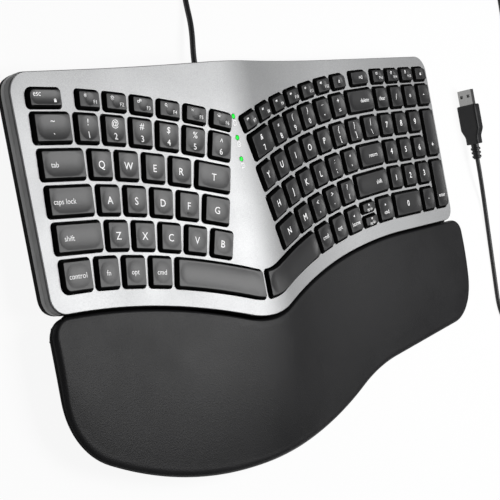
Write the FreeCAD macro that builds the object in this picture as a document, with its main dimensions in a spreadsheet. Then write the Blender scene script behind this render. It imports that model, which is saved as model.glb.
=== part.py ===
import FreeCAD, Part
import math
import os

# Gull-wing keyboard with a split, curved key field, a palm rest and a wired plug.
# Millimetres. X runs along the key rows, +Y to the back edge, +Z up from the desk.
# The ridge line of the deck is x = 0 while the pieces are drawn. The whole keyboard is
# then set over its own footprint's middle.

Vector = FreeCAD.Vector
UP = Vector(0, 0, 1)
BACKWARD = Vector(0, 1, 0)
doc = FreeCAD.newDocument("ergonomic_keyboard")
sheet = doc.addObject("Spreadsheet::Sheet", "Sizes")

DIMENSIONS = {
    # deck plan
    "plate_left": 158.3,
    "plate_right": 239.0,
    "plate_back": 112.9,
    "back_corner": 12.0,
    "front_left_corner": 10.0,
    "front_right_corner": 9.0,
    "front_bezel": 9.55,
    "nose_radius": 57.4,
    # the two fans that the key rows follow
    "fan_offset": 168.0,
    "fan_datum": 448.35,
    "first_row_radius": 532.5,
    "function_row_radius": 548.05,
    "key_pitch": 19.0,
    "key_web": 2.1,
    "function_hole": 11.1,
    "bottom_hole": 17.85,
    "left_margin": 150.7,
    "right_margin": 160.3,
    "split_place": 4.0,
    "hole_corner": 2.2,
    "large_corner": 4.5,
    # gull-wing section
    "ridge_height": 30.0,
    "crown_half": 20.0,
    "crown_slope": 10.0,
    "wing_start": 110.0,
    "wing_slope": 0.2,
    # layers under the plate's top face, as depths
    "plate_thickness": 1.5,
    "frame_depth": 6.2,
    "frame_thickness": 1.2,
    "frame_inset": 1.5,
    "frame_rim": 1.8,
    "dome_depth": 11.4,
    "dome_film": 0.6,
    "dome_radius": 4.2,
    "membrane_thickness": 0.3,
    "base_thickness": 1.0,
    "layer_gap": 0.1,
    "layer_inset": 7.0,
    "base_inset": 4.5,
    # keys
    "key_clearance": 0.8,
    "cap_height": 2.4,
    "cap_edge": 0.8,
    "cap_taper": 1.1,
    "skirt_depth": 2.6,
    "cap_wall": 1.2,
    "dish_width": 12.8,
    "dish_depth": 0.5,
    "stem_radius": 2.7,
    "stem_clearance": 0.8,
    "stem_gap": 0.2,
    "stem_depth": 8.6,
    "homing_bar": 3.6,
    "homing_rise": 0.35,
    # case
    "band_out": 2.0,
    "band_lap": 1.2,
    "band_groove": 0.4,
    "band_depth": 9.0,
    "shell_wall": 2.2,
    "shell_floor": 2.2,
    "shell_chamfer": 6.0,
    "foot_height": 1.0,
    "foot_recess": 0.6,
    "foot_radius": 6.0,
    "screw_radius": 1.5,
    "screw_head": 2.8,
    "screw_head_height": 1.8,
    "screw_clearance": 0.2,
    "boss_radius": 3.6,
    "frame_boss_radius": 2.9,
    # palm rest
    "palm_gap": 2.6,
    "palm_left": 162.3,
    "palm_right": 251.0,
    "palm_front": 126.0,
    "belly_radius": 268.0,
    "belly_place": 8.0,
    "flank_place": 209.6,
    "flank_front": 88.7,
    "flank_slope": 5.0,
    "left_front_corner": 42.0,
    "right_front_corner": 30.0,
    "hollow_radius": 150.0,
    "rear_left_corner": 11.0,
    "rear_right_corner": 10.5,
    "palm_rim_low": 6.0,
    "palm_rim_high": 11.0,
    "palm_seat": 12.5,
    "palm_undercut": 6.0,
    "palm_groove": 2.5,
    "palm_wall": 2.5,
    "cushion_bulge": 1.4,
    "cushion_rear_drop": 0.6,
    "cushion_front_height": 17.2,
    "cushion_front_hump": 0.3,
    "cushion_crown": 1.6,
    "tab_width": 14.0,
    "tab_length": 7.0,
    "tab_thickness": 1.8,
    "tab_clearance": 0.3,
    # electronics and lights
    "board_length": 64.0,
    "board_width": 30.0,
    "board_thickness": 1.6,
    "board_height": 5.0,
    "board_place": 80.0,
    "board_stand_inset": 4.0,
    "board_stand_radius": 2.5,
    "chip_size": 8.0,
    "chip_height": 1.2,
    "socket_length": 8.0,
    "socket_height": 4.0,
    "light_place": 4.2,
    "light_radius": 1.3,
    "light_first": 79.7,
    "light_pitch": 12.8,
    "light_clearance": 0.05,
    # cord and plug
    "cord_diameter": 3.5,
    "cord_height": 1.8,
    "cord_place": -3.4,
    "gland_radius": 2.6,
    "gland_tip_radius": 2.2,
    "gland_length": 3.5,
    "gland_flange": 5.4,
    "gland_flange_length": 2.0,
    "gland_height": 7.0,
    "coil_outer": 21.5,
    "coil_pitch": 4.0,
    "coil_turns": 4.25,
    "plug_x": 313.5,
    "plug_y": 54.2,
    "plug_thickness": 8.6,
    "plug_width": 16.6,
    "plug_body": 31.0,
    "plug_neck": 12.0,
    "plug_neck_thickness": 8.0,
    "plug_neck_width": 11.2,
    "plug_corner": 1.6,
    "plug_tip": 0.8,
    "relief_length": 12.0,
    "relief_radius": 3.4,
    "relief_tip": 3.0,
    "relief_ring": 0.5,
    "relief_ring_length": 1.9,
    "shell_width": 12.0,
    "shell_thickness": 4.5,
    "shell_length": 12.2,
    "shell_sheet": 0.35,
    "shell_window": 2.4,
    "shell_window_place": 7.0,
    "tongue_thickness": 1.9,
    "tongue_short": 0.8,
}

for line, (alias, value) in enumerate(DIMENSIONS.items(), 1):
    sheet.set(f"A{line}", alias)
    sheet.set(f"B{line}", str(value))
    sheet.setAlias(f"B{line}", alias)
doc.recompute()


class Sizes:
    """The driving dimensions, read back from the sheet."""


d = Sizes()
for alias in DIMENSIONS:
    setattr(d, alias, float(sheet.get(alias)))

# What follows from the driving dimensions
PAD = 1.0
FAR = 600.0
BIG = 60.0
front_radius = d.first_row_radius - 3.5 * d.key_pitch - d.key_web / 2 - d.bottom_hole - d.front_bezel
bottom_row_radius = front_radius + d.front_bezel + d.bottom_hole / 2
origin_x = (d.palm_right - d.palm_left) / 2
origin_y = (d.plate_back + d.band_out - d.palm_front) / 2
to_origin = Vector(-origin_x, -origin_y, 0)
base_depth = d.dome_depth + d.dome_film + d.membrane_thickness + 2 * d.layer_gap
under_base = base_depth + d.base_thickness
cord_radius = d.cord_diameter / 2

pieces = []


def keep(name, shape):
    """One piece of the keyboard as an object of the document, over the common origin."""
    piece = doc.addObject("Part::Feature", name)
    piece.Label = name
    piece.Shape = shape
    piece.Placement = FreeCAD.Placement(to_origin, FreeCAD.Rotation())
    pieces.append(piece)
    return piece


# Gull-wing section of the deck


crown_radius = d.crown_half / math.sin(math.radians(d.crown_slope))
valley_radius = (d.wing_start - d.crown_half) / (
    math.sin(math.radians(d.crown_slope)) - math.sin(math.radians(d.wing_slope)))


def fall_angle(x):
    """How steeply the deck falls away from the ridge at x, in radians."""
    reach = abs(x)
    if reach <= d.crown_half:
        return math.asin(reach / crown_radius)
    if reach >= d.wing_start:
        return math.radians(d.wing_slope)
    return math.asin(math.sin(math.radians(d.crown_slope)) - (reach - d.crown_half) / valley_radius)


def deck_height(x):
    """Height of the plate's top face at x."""
    reach = abs(x)
    crown_end = crown_radius * (1 - math.cos(math.radians(d.crown_slope)))
    if reach <= d.crown_half:
        return d.ridge_height - crown_radius * (1 - math.cos(fall_angle(x)))
    fall = crown_end + valley_radius * (math.cos(fall_angle(x)) - math.cos(math.radians(d.crown_slope)))
    if reach > d.wing_start:
        fall += (reach - d.wing_start) * math.tan(math.radians(d.wing_slope))
    return d.ridge_height - fall


def tilt(x):
    """Turn of the deck's face about Y at x: positive where it rises to the right."""
    return math.copysign(fall_angle(x), -x) if x else 0.0


def deck_point(x, depth=0.0, y=0.0):
    """A point at this depth under the deck's face, square to it."""
    return Vector(x + depth * math.sin(tilt(x)), y, deck_height(x) - depth * math.cos(tilt(x)))


def deck_curve(depth, y):
    """The deck's section at a depth: straight wings, two hollows and the crown."""
    marks = [-d.wing_start, -d.crown_half, d.crown_half, d.wing_start]
    middles = [-(d.wing_start + d.crown_half) / 2, 0.0, (d.wing_start + d.crown_half) / 2]
    knots = [deck_point(mark, depth, y) for mark in marks]
    edges = [Part.LineSegment(deck_point(-FAR, depth, y), knots[0])]
    for start, middle, end in zip(knots, middles, knots[1:]):
        edges.append(Part.Arc(start, deck_point(middle, depth, y), end))
    edges.append(Part.LineSegment(knots[-1], deck_point(FAR, depth, y)))
    return [edge.toShape() for edge in edges]


def under_deck(depth, floor=-BIG):
    """Everything from a flat floor up to a depth under the deck."""
    start_y = -FAR / 2
    curve = deck_curve(depth, start_y)
    left = curve[0].Vertexes[0].Point
    right = curve[-1].Vertexes[-1].Point
    low_left = Vector(left.x, start_y, floor)
    low_right = Vector(right.x, start_y, floor)
    around = [right, low_right, low_left, left]
    closing = [Part.makeLine(start, end) for start, end in zip(around, around[1:])]
    return Part.Face(Part.Wire(curve + closing)).extrude(Vector(0, FAR, 0))


def layer(top, bottom, outline):
    """A sheet of the deck between two depths, cut to an upright outline."""
    upright = Part.Face(outline).extrude(Vector(0, 0, 2 * BIG))
    upright.translate(Vector(0, 0, -BIG))
    return upright.common(under_deck(top)).cut(under_deck(bottom, -2 * BIG))


# Outlines in plan


def rounded_outline(edges, corners):
    """A closed outline with its corners rounded: corners maps a corner's point to its radius."""
    block = Part.Face(Part.Wire(edges)).extrude(Vector(0, 0, PAD))
    for point, radius in corners:
        for edge in block.Edges:
            ends = [vertex.Point for vertex in edge.Vertexes]
            upright = len(ends) == 2 and abs(ends[0].z - ends[1].z) > PAD / 2
            if upright and math.hypot(ends[0].x - point.x, ends[0].y - point.y) < 0.01:
                block = block.makeFillet(radius, [edge])
                break
    floor = min(block.Faces, key=lambda face: face.CenterOfMass.z)
    return floor.OuterWire


def inset(outline, distance):
    """The outline moved inwards, or outwards where the distance is negative."""
    if abs(distance) < 1e-9:
        return outline
    return outline.makeOffset2D(-distance)


def prism(outline, low, high):
    """An upright block over an outline."""
    block = Part.Face(outline).extrude(Vector(0, 0, high - low))
    block.translate(Vector(0, 0, low))
    return block


def flare(low_outline, low, high_outline, high):
    """A block whose upright sides lean from one outline to another."""
    lower = low_outline.copy()
    lower.translate(Vector(0, 0, low))
    upper = high_outline.copy()
    upper.translate(Vector(0, 0, high))
    return Part.makeLoft([lower, upper], True, True)


def fan_place(side, radius, angle):
    """A point of a fan in plan: side -1 is the left hand's, and the angle grows towards the ridge."""
    reach = d.fan_offset - radius * math.sin(angle)
    return Vector(side * reach, radius * math.cos(angle) - d.fan_datum, 0)


def fan_curve(radius, x_left, x_right):
    """The line that runs along both fans at one radius, with a round nose at the ridge."""
    nose = d.nose_radius - (radius - front_radius)
    nose_angle = math.asin(d.fan_offset / (radius + nose))
    left_angle = math.asin((x_left + d.fan_offset) / radius)
    right_angle = math.asin(max(d.fan_offset - x_right, 0.0) / radius)
    left, right = fan_place(-1, radius, left_angle), fan_place(1, radius, right_angle)
    left_nose, right_nose = fan_place(-1, radius, nose_angle), fan_place(1, radius, nose_angle)
    tip = Vector(0, (radius + nose) * math.cos(nose_angle) - d.fan_datum - nose, 0)
    left_middle = fan_place(-1, radius, (left_angle + nose_angle) / 2)
    right_middle = fan_place(1, radius, (right_angle + nose_angle) / 2)
    edges = [
        Part.Arc(left, left_middle, left_nose).toShape(),
        Part.Arc(left_nose, tip, right_nose).toShape(),
        Part.Arc(right_nose, right_middle, right).toShape(),
    ]
    if x_right > d.fan_offset:
        edges.append(Part.makeLine(right, Vector(x_right, right.y, 0)))
    return edges


def closed_over(curve, back, corners):
    """An outline with the fan line as its front and a straight back."""
    left = curve[0].Vertexes[0].Point
    right = curve[-1].Vertexes[-1].Point
    back_left = Vector(left.x, back, 0)
    back_right = Vector(right.x, back, 0)
    around = [right, back_right, back_left, left]
    sides = [Part.makeLine(start, end) for start, end in zip(around, around[1:])]
    rounds = zip([left, back_left, back_right, right], corners)
    return rounded_outline(curve + sides, [pair for pair in rounds if pair[1] > 0])


deck_outline = closed_over(
    fan_curve(front_radius, -d.plate_left, d.plate_right), d.plate_back,
    [d.front_left_corner, d.back_corner, d.back_corner, d.front_right_corner])


def palm_outline():
    """The palm rest in plan: bellied at the left, drawn in to a narrow strip at the right."""
    rear = fan_curve(front_radius - d.palm_gap, -d.palm_left, d.palm_right)
    rear_left = rear[0].Vertexes[0].Point
    rear_right = rear[-1].Vertexes[-1].Point
    belly_centre = Vector(-d.belly_place, d.belly_radius - d.palm_front, 0)
    left_reach = d.palm_left - d.belly_place
    left_low = Vector(-d.palm_left, belly_centre.y - math.sqrt(d.belly_radius ** 2 - left_reach ** 2), 0)
    bottom = Vector(-d.belly_place, -d.palm_front, 0)
    slope = math.radians(d.flank_slope)
    along = Vector(math.cos(slope), math.sin(slope), 0)
    flank = Vector(d.flank_place, -d.flank_front, 0)
    to_centre = flank - belly_centre
    forward = to_centre.dot(along)
    reach = -forward + math.sqrt(forward ** 2 - to_centre.dot(to_centre) + d.belly_radius ** 2)
    meeting = flank + along * reach
    right_low = flank + along * ((d.palm_right - flank.x) / along.x)
    edges = rear + [
        Part.makeLine(rear_right, right_low),
        Part.makeLine(right_low, meeting),
        Part.Arc(meeting, bottom, left_low).toShape(),
        Part.makeLine(left_low, rear_left),
    ]
    corners = [
        (rear_left, d.rear_left_corner), (rear_right, d.rear_right_corner),
        (right_low, d.right_front_corner), (meeting, d.hollow_radius), (left_low, d.left_front_corner),
    ]
    return rounded_outline(edges, corners)


palm_plan = palm_outline()


# Key layout: every row runs from its outer end to the ridge, as pairs of node and cell width


def letters(text):
    """One cell of the common pitch for each letter."""
    return [("key_" + letter, d.key_pitch) for letter in text]


def run(node, count):
    """A run of common cells that share one node."""
    return [(node, d.key_pitch)] * count


bottom_pitch = 19.2
ROW_RADII = [d.function_row_radius]
ROW_RADII += [d.first_row_radius - number * d.key_pitch for number in range(4)]
ROW_RADII += [bottom_row_radius]
letter_hole = d.key_pitch - d.key_web
ROW_HOLES = [d.function_hole] + [letter_hole] * 4 + [d.bottom_hole]
LEFT_ROWS = [
    [("function_keys", 25.4), ("", 7.4)] + run("function_keys", 6),
    [("punctuation_keys", 28.4)] + run("number_keys", 6),
    [("modifier_keys", 33.0)] + letters("qwer") + [("key_t", 28.5)],
    [("modifier_keys", 34.1)] + letters("asdf") + [("key_g", 22.3)],
    [("shift_left", 35.4)] + letters("zxcvb"),
    [("modifier_keys", 23.3)] + [("modifier_keys", bottom_pitch)] * 3,
]
RIGHT_ROWS = [
    [("", 2.2), ("function_keys", 24.5), ("", 3.3)] + run("function_keys", 7),
    [("delete", 35.0)] + run("punctuation_keys", 2) + run("number_keys", 3) + [("number_keys", 28.2)],
    [("punctuation_keys", 21.4)] + run("punctuation_keys", 2) + letters("poiuy"),
    [("return", 32.8)] + run("punctuation_keys", 2) + letters("lkj") + [("key_h", 22.0)],
    [("shift_right", 42.7)] + run("punctuation_keys", 3) + letters("m") + [("key_n", 26.6)],
    [("arrow_keys", 21.5), ("half_keys", bottom_pitch), ("arrow_keys", bottom_pitch)]
    + [("modifier_keys", bottom_pitch)] * 2,
]
HALF_WEB = 1.2


class Key:
    """One key: its node, its place and turn in plan, and its hole in the plate."""

    def __init__(self, node, place, turn, width, depth, big_corner=None):
        self.node = node
        self.x = place.x
        self.y = place.y
        self.turn = turn
        self.width = width
        self.depth = depth
        self.big_corner = big_corner

    def placement(self):
        """From the key's own frame, with its Z square to the deck, to the keyboard's."""
        turned = FreeCAD.Rotation(UP, math.degrees(self.turn))
        leaned = FreeCAD.Rotation(BACKWARD, -math.degrees(tilt(self.x)))
        return FreeCAD.Placement(Vector(self.x, self.y, deck_height(self.x)), leaned.multiply(turned))


def fan_keys(side, rows, margin):
    """The keys of one fan, and the angle at which its bottom row gives way to the space bar."""
    found = []
    angle = 0.0
    for row, cells in enumerate(rows):
        radius = ROW_RADII[row]
        angle = math.asin((d.fan_offset - margin) / radius)
        for number, (node, width) in enumerate(cells):
            middle = angle + width / radius / 2
            angle += width / radius
            place = fan_place(side, radius, middle)
            turn = side * middle
            hole = width - d.key_web
            if node == "half_keys":
                half = (ROW_HOLES[row] - HALF_WEB) / 2
                for rise in (-1, 1):
                    spot = fan_place(side, radius + rise * (half + HALF_WEB) / 2, middle)
                    found.append(Key("arrow_keys", spot, turn, hole, half))
            elif node:
                big = None
                if side < 0 and number == 0:
                    big = {0: "back_left", 5: "front_left"}.get(row)
                if side > 0 and row == 0 and node and number in (1, 3):
                    big = "back_right"
                found.append(Key(node, place, turn, hole, ROW_HOLES[row], big))
    return found, angle


def pad_keys():
    """The number pad: four straight columns, two tall keys and one wide one."""
    found = []

    def spot(column, row):
        return Vector(d.right_margin + (column + 0.5) * d.key_pitch, ROW_RADII[row] - d.fan_datum, 0)

    for column in range(4):
        big = "back_right" if column == 3 else None
        found.append(Key("function_keys", spot(column, 0), 0.0, letter_hole, d.function_hole, big))
        found.append(Key("numpad_keys", spot(column, 1), 0.0, letter_hole, letter_hole))
    for row in (2, 3, 4):
        for column in range(3):
            found.append(Key("numpad_keys", spot(column, row), 0.0, letter_hole, letter_hole))
    plus_place = (spot(3, 2) + spot(3, 3)) * 0.5
    found.append(Key("numpad_keys", plus_place, 0.0, letter_hole, letter_hole + d.key_pitch))
    enter_top = spot(3, 4).y + letter_hole / 2
    enter_low = spot(3, 5).y - d.bottom_hole / 2
    enter_place = Vector(spot(3, 4).x, (enter_top + enter_low) / 2, 0)
    found.append(Key("numpad_keys", enter_place, 0.0, letter_hole, enter_top - enter_low, "front_right"))
    zero_place = (spot(0, 5) + spot(1, 5)) * 0.5
    found.append(Key("numpad_keys", zero_place, 0.0, letter_hole + d.key_pitch, d.bottom_hole))
    found.append(Key("numpad_keys", spot(2, 5), 0.0, letter_hole, d.bottom_hole))
    return found


left_keys, left_space_angle = fan_keys(-1, LEFT_ROWS, d.left_margin)
right_keys, right_space_angle = fan_keys(1, RIGHT_ROWS, d.right_margin)
keys = left_keys + right_keys + pad_keys()


# Holes and caps in a key's own frame

CORNERS = ["front_left", "front_right", "back_right", "back_left"]


def pillow(width, depth, radii, height):
    """A rectangle with rounded corners, in the order of CORNERS, at a height."""
    signs = [(-1, -1), (1, -1), (1, 1), (-1, 1)]
    points = [Vector(x * width / 2, y * depth / 2, height) for x, y in signs]
    edges = []
    starts = []
    ends = []
    for number, point in enumerate(points):
        before = (points[number - 1] - point).normalize()
        after = (points[(number + 1) % 4] - point).normalize()
        radius = radii[number]
        starts.append(point + before * radius)
        ends.append(point + after * radius)
        centre = point + (before + after) * radius
        middle = centre + (point - centre).normalize() * radius
        edges.append(Part.Arc(starts[-1], middle, ends[-1]).toShape())
    outline = []
    for number in range(4):
        outline.append(edges[number])
        outline.append(Part.makeLine(ends[number], starts[(number + 1) % 4]))
    return Part.Wire(outline)


def corner_radii(big_corner, less):
    """The hole's corner radii, less an inset."""
    radii = [max(d.hole_corner - less, 0.4)] * 4
    if big_corner:
        radii[CORNERS.index(big_corner)] = max(d.large_corner - less, 0.4)
    return radii


def block_between(low_wire, high_wire):
    return Part.makeLoft([low_wire, high_wire], True, True)


def dish(width, depth):
    """The round or long hollow that is taken out of a cap's top."""
    spare = 0.9
    across = min(d.dish_width, depth - 2 * spare, width - 2 * spare)
    sink = d.dish_depth * across / d.dish_width
    radius = (across ** 2 / 4 + sink ** 2) / (2 * sink)
    centre_height = d.cap_height - sink + radius
    long_x = max(width - 2 * spare - across, 0.0) if width > d.key_pitch else 0.0
    long_y = max(depth - 2 * spare - across, 0.0) if depth > d.key_pitch else 0.0
    if long_x or long_y:
        direction = Vector(1, 0, 0) if long_x else Vector(0, 1, 0)
        length = long_x or long_y
        start = Vector(0, 0, centre_height) - direction * (length / 2)
        bar = Part.makeCylinder(radius, length, start, direction)
        ends = [Part.makeSphere(radius, start), Part.makeSphere(radius, start + direction * length)]
        return bar.multiFuse(ends)
    return Part.makeSphere(radius, Vector(0, 0, centre_height))


cap_store = {}


def cap(width, depth, big_corner=None, homing=False):
    """A key cap with its skirt, hollow underside, dished top and stem."""
    name = (round(width, 3), round(depth, 3), big_corner, homing)
    if name in cap_store:
        return cap_store[name].copy()
    gap = d.key_clearance
    wide, deep = width - 2 * gap, depth - 2 * gap
    radii = corner_radii(big_corner, gap)
    top_radii = corner_radii(big_corner, gap + d.cap_taper / 2)
    low = pillow(wide, deep, radii, -d.skirt_depth)
    edge = pillow(wide, deep, radii, d.cap_edge)
    taper = 2 * d.cap_taper
    top = pillow(wide - taper, deep - taper, top_radii, d.cap_height)
    body = block_between(low, edge).fuse(block_between(edge, top))
    body = body.cut(dish(wide - taper, deep - taper))
    wall = 2 * d.cap_wall
    inner_radii = corner_radii(big_corner, gap + d.cap_wall)
    hollow_low = pillow(wide - wall, deep - wall, inner_radii, -d.skirt_depth - PAD)
    hollow_top = pillow(wide - wall, deep - wall, inner_radii, d.cap_height - d.cap_wall - d.dish_depth)
    body = body.cut(block_between(hollow_low, hollow_top))
    roof = d.cap_height - d.cap_wall - d.dish_depth
    stem_radius = min(d.stem_radius, deep / 2 - d.cap_wall - 0.2)
    stem = Part.makeCylinder(stem_radius, d.stem_depth + roof + PAD / 4, Vector(0, 0, -d.stem_depth))
    body = body.fuse(stem)
    if homing:
        bar = Part.makeBox(d.homing_bar, 0.8, d.homing_rise + 0.6)
        bar.translate(Vector(-d.homing_bar / 2, -deep / 2 + 3.4, d.cap_height - 0.6))
        body = body.fuse(bar)
    body = body.removeSplitter()
    cap_store[name] = body
    return body.copy()


def placed(shape, placement):
    """A copy of a shape, moved from a key's frame to the keyboard's."""
    return shape.transformed(placement.toMatrix(), True)


def key_hole(key):
    """The cutter for a key's hole through the plate."""
    radii = corner_radii(key.big_corner, 0.0)
    low = pillow(key.width, key.depth, radii, -d.plate_thickness - PAD)
    high = pillow(key.width, key.depth, radii, PAD)
    return placed(block_between(low, high), key.placement())


# Space bars: bounded by the fans' lines, the bottom row's end and the split


def fan_region(radius):
    """Everything in front of the line that runs along both fans at this radius."""
    return closed_over(fan_curve(radius, -d.plate_left, d.plate_right), -FAR, [0, 0, 0, 0])


space_low_radius = front_radius + d.front_bezel
space_high_radius = space_low_radius + d.bottom_hole


def space_plan(side, start_angle, less=0.0):
    """A space bar's hole in plan, drawn in on all sides by less."""
    high = prism(fan_region(space_high_radius - less), 0, PAD)
    band = high.cut(prism(fan_region(space_low_radius + less), 0, PAD))
    outer = start_angle + (d.key_web / 2 + less) / bottom_row_radius
    split = -d.split_place + side * (d.key_web / 2 + less)
    reach = 2 * d.key_pitch
    near = fan_place(side, bottom_row_radius - reach, outer)
    far = fan_place(side, bottom_row_radius + reach, outer)
    corners = [near, far, Vector(split, far.y, 0), Vector(split, near.y - 2 * reach, 0), near]
    wedge = prism(Part.makePolygon(corners), -PAD, 2 * PAD)
    block = band.common(wedge)
    ends = []
    for edge in block.Edges:
        point = edge.Vertexes[0].Point
        if abs(point.z - edge.Vertexes[-1].Z) < PAD / 2:
            continue
        angle = math.atan2(d.fan_offset - side * point.x, point.y + d.fan_datum)
        if abs(point.x - split) < 0.01 or abs(angle - outer) < 0.0001:
            ends.append(edge)
    block = block.makeFillet(max(d.hole_corner - less, 0.4), ends)
    floor = min(block.Faces, key=lambda face: face.CenterOfMass.z)
    return floor.OuterWire


SPACE_SIDES = {"space_bar_left": (-1, left_space_angle), "space_bar_right": (1, right_space_angle)}


def space_stems(side, start_angle):
    """Where a space bar's three stems stand."""
    end_angle = math.asin((d.fan_offset - 2 * d.key_pitch) / bottom_row_radius)
    shares = (0.15, 0.55, 0.95)
    spots = [start_angle + share * (end_angle - start_angle) for share in shares]
    return [fan_place(side, bottom_row_radius, spot) for spot in spots]


space_stem_places = {name: space_stems(side, angle) for name, (side, angle) in SPACE_SIDES.items()}


def space_bar(name):
    """A space bar whose top follows the deck's section, hollow below, on three stems."""
    side, angle = SPACE_SIDES[name]
    plan = space_plan(side, angle, d.key_clearance)
    shoulder = space_plan(side, angle, d.key_clearance + d.cap_taper)
    hollow = space_plan(side, angle, d.key_clearance + d.cap_wall)
    body = prism(plan, -BIG, BIG).common(under_deck(-d.cap_edge)).cut(under_deck(d.skirt_depth, -2 * BIG))
    crest = prism(shoulder, -BIG, BIG).common(under_deck(-d.cap_height))
    crest = crest.cut(under_deck(-d.cap_edge / 2, -2 * BIG))
    body = body.fuse(crest)
    roof = -(d.cap_edge - d.cap_wall / 2)
    room = prism(hollow, -BIG, BIG).common(under_deck(roof)).cut(under_deck(d.skirt_depth + PAD, -2 * BIG))
    body = body.cut(room)
    for place in space_stem_places[name]:
        top = deck_height(place.x) + d.cap_edge
        low = deck_height(place.x) - d.stem_depth
        body = body.fuse(Part.makeCylinder(d.stem_radius, top - low, Vector(place.x, place.y, low)))
    return body.removeSplitter()


# Screws, feet and lights: places in plan


screw_places = [fan_place(-1, d.first_row_radius + d.key_pitch / 2 - row * d.key_pitch, math.radians(angle))
                for row, angle in ((0.9, 3.0), (4, 3.0), (0.9, 12.0), (4, 12.0))]
screw_places += [fan_place(1, d.first_row_radius + d.key_pitch / 2 - row * d.key_pitch, math.radians(angle))
                 for row, angle in ((1, 2.4), (4, 2.4), (1, 12.0), (4, 12.0))]
screw_places += [Vector(d.right_margin + 3 * d.key_pitch, ROW_RADII[row] - d.key_pitch / 2 - d.fan_datum, 0)
                 for row in (1, 3)]
foot_margin = 22.0
deck_foot_places = [
    Vector(x, y, 0) for x in (-d.plate_left + foot_margin, d.plate_right - foot_margin)
    for y in (d.plate_back - foot_margin, foot_margin - 2 * d.front_left_corner + 8)
]
deck_foot_places += [Vector(d.board_length, d.plate_back - foot_margin, 0)]
palm_foot_spots = [(-120.0, -70.0), (0.0, -100.0), (120.0, -70.0), (205.0, -60.0)]
palm_foot_places = [Vector(across, along, 0) for across, along in palm_foot_spots]
light_places = [Vector(-d.light_place, d.light_first - number * d.light_pitch, 0) for number in range(3)]


def upright(place, radius, low, high):
    """An upright cylinder at a place in plan."""
    return Part.makeCylinder(radius, high - low, Vector(place.x, place.y, low))


# Plate, with every key's hole and the three light holes


def top_plate():
    body = layer(0, d.plate_thickness, deck_outline)
    holes = [key_hole(key) for key in keys]
    holes += [prism(space_plan(side, angle), -BIG, BIG) for side, angle in SPACE_SIDES.values()]
    holes += [upright(place, d.light_radius + d.light_clearance, 0, BIG) for place in light_places]
    return body.cut(Part.Compound(holes))


# Key frame: the tray that guides the stems and carries the plate on its rim


stem_hole_radius = d.stem_radius + d.stem_clearance
boss_low_depth = base_depth - d.layer_gap


def all_stems():
    """Each stem's place and lean: keys stand square to the deck, space bar stems stand upright."""
    found = [key.placement() for key in keys]
    for places in space_stem_places.values():
        for place in places:
            found.append(FreeCAD.Placement(Vector(place.x, place.y, deck_height(place.x)), FreeCAD.Rotation()))
    return found


def key_frame():
    outer = inset(deck_outline, d.frame_inset)
    inner = inset(deck_outline, d.frame_inset + d.frame_rim)
    body = layer(d.frame_depth, d.frame_depth + d.frame_thickness, outer)
    rim = layer(d.plate_thickness, d.frame_depth + d.frame_thickness / 2, outer).cut(prism(inner, -BIG, BIG))
    bosses = [upright(place, d.frame_boss_radius, 0, BIG) for place in screw_places]
    posts = Part.Compound(bosses).common(under_deck(d.frame_depth)).cut(under_deck(boss_low_depth, -2 * BIG))
    body = body.multiFuse([rim] + posts.Solids)
    cutter = Part.makeCylinder(stem_hole_radius, d.frame_thickness + 2 * PAD,
                               Vector(0, 0, -d.frame_depth - d.frame_thickness - PAD))
    holes = [placed(cutter, stem) for stem in all_stems()]
    pilot = d.screw_radius + 0.02
    holes += [upright(place, pilot, 0, deck_height(place.x) - d.frame_depth + PAD) for place in screw_places]
    return body.cut(Part.Compound(holes))


# Rubber dome sheet, membrane and base plate


def stack_holes(radius):
    """Where the screw bosses pass through a layer."""
    return Part.Compound([upright(place, radius, -BIG, BIG) for place in screw_places])


def dome_sheet():
    outline = inset(deck_outline, d.layer_inset)
    film = layer(d.dome_depth, d.dome_depth + d.dome_film, outline)
    top = d.stem_depth + d.stem_gap
    dome = Part.makeCone(d.dome_radius, d.stem_radius - 0.4, d.dome_depth - top + d.dome_film / 2,
                         Vector(0, 0, -d.dome_depth - d.dome_film / 2))
    domes = [placed(dome, stem) for stem in all_stems()]
    body = film.multiFuse(domes).cut(stack_holes(d.frame_boss_radius + 0.6))
    return body.cut(under_deck(d.dome_depth + d.dome_film, -2 * BIG))


def membrane():
    top = d.dome_depth + d.dome_film + d.layer_gap
    body = layer(top, top + d.membrane_thickness, inset(deck_outline, d.layer_inset))
    return body.cut(stack_holes(d.frame_boss_radius + 0.6))


def base_plate():
    body = layer(base_depth, under_base, inset(deck_outline, d.base_inset))
    return body.cut(stack_holes(d.screw_radius + d.screw_clearance))


# Side band and bottom shell


shell_low = d.foot_height
floor_top = shell_low + d.shell_floor
chamfer_top = shell_low + d.shell_chamfer
head_seat = shell_low + d.screw_head_height + PAD / 2


def side_band():
    outer = inset(deck_outline, -d.band_out)
    inner = inset(deck_outline, d.band_lap)
    top = d.plate_thickness + d.band_groove
    return layer(top, d.band_depth, outer).cut(prism(inner, -BIG, BIG))


tab_low = 4.0
tab_places = [-118.0, -62.0, 74.0, 134.0, 205.0]


def tab_reach(x):
    """The deck's front edge at x."""
    angle = math.asin(min(d.fan_offset - abs(x), d.fan_offset) / front_radius) if abs(x) < d.fan_offset else 0.0
    return fan_place(-1, front_radius, angle).y


def tab_block(x, clearance):
    """A hooking tab of the palm rest, or its slot in the shell with a clearance."""
    width = d.tab_width + 2 * clearance
    start = tab_reach(x) - d.palm_gap - 4.0
    block = Part.makeBox(width, d.tab_length + d.palm_gap + 4.0 + 2 * clearance, d.tab_thickness + 2 * clearance)
    block.translate(Vector(x - width / 2, start, tab_low - clearance))
    return block


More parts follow.
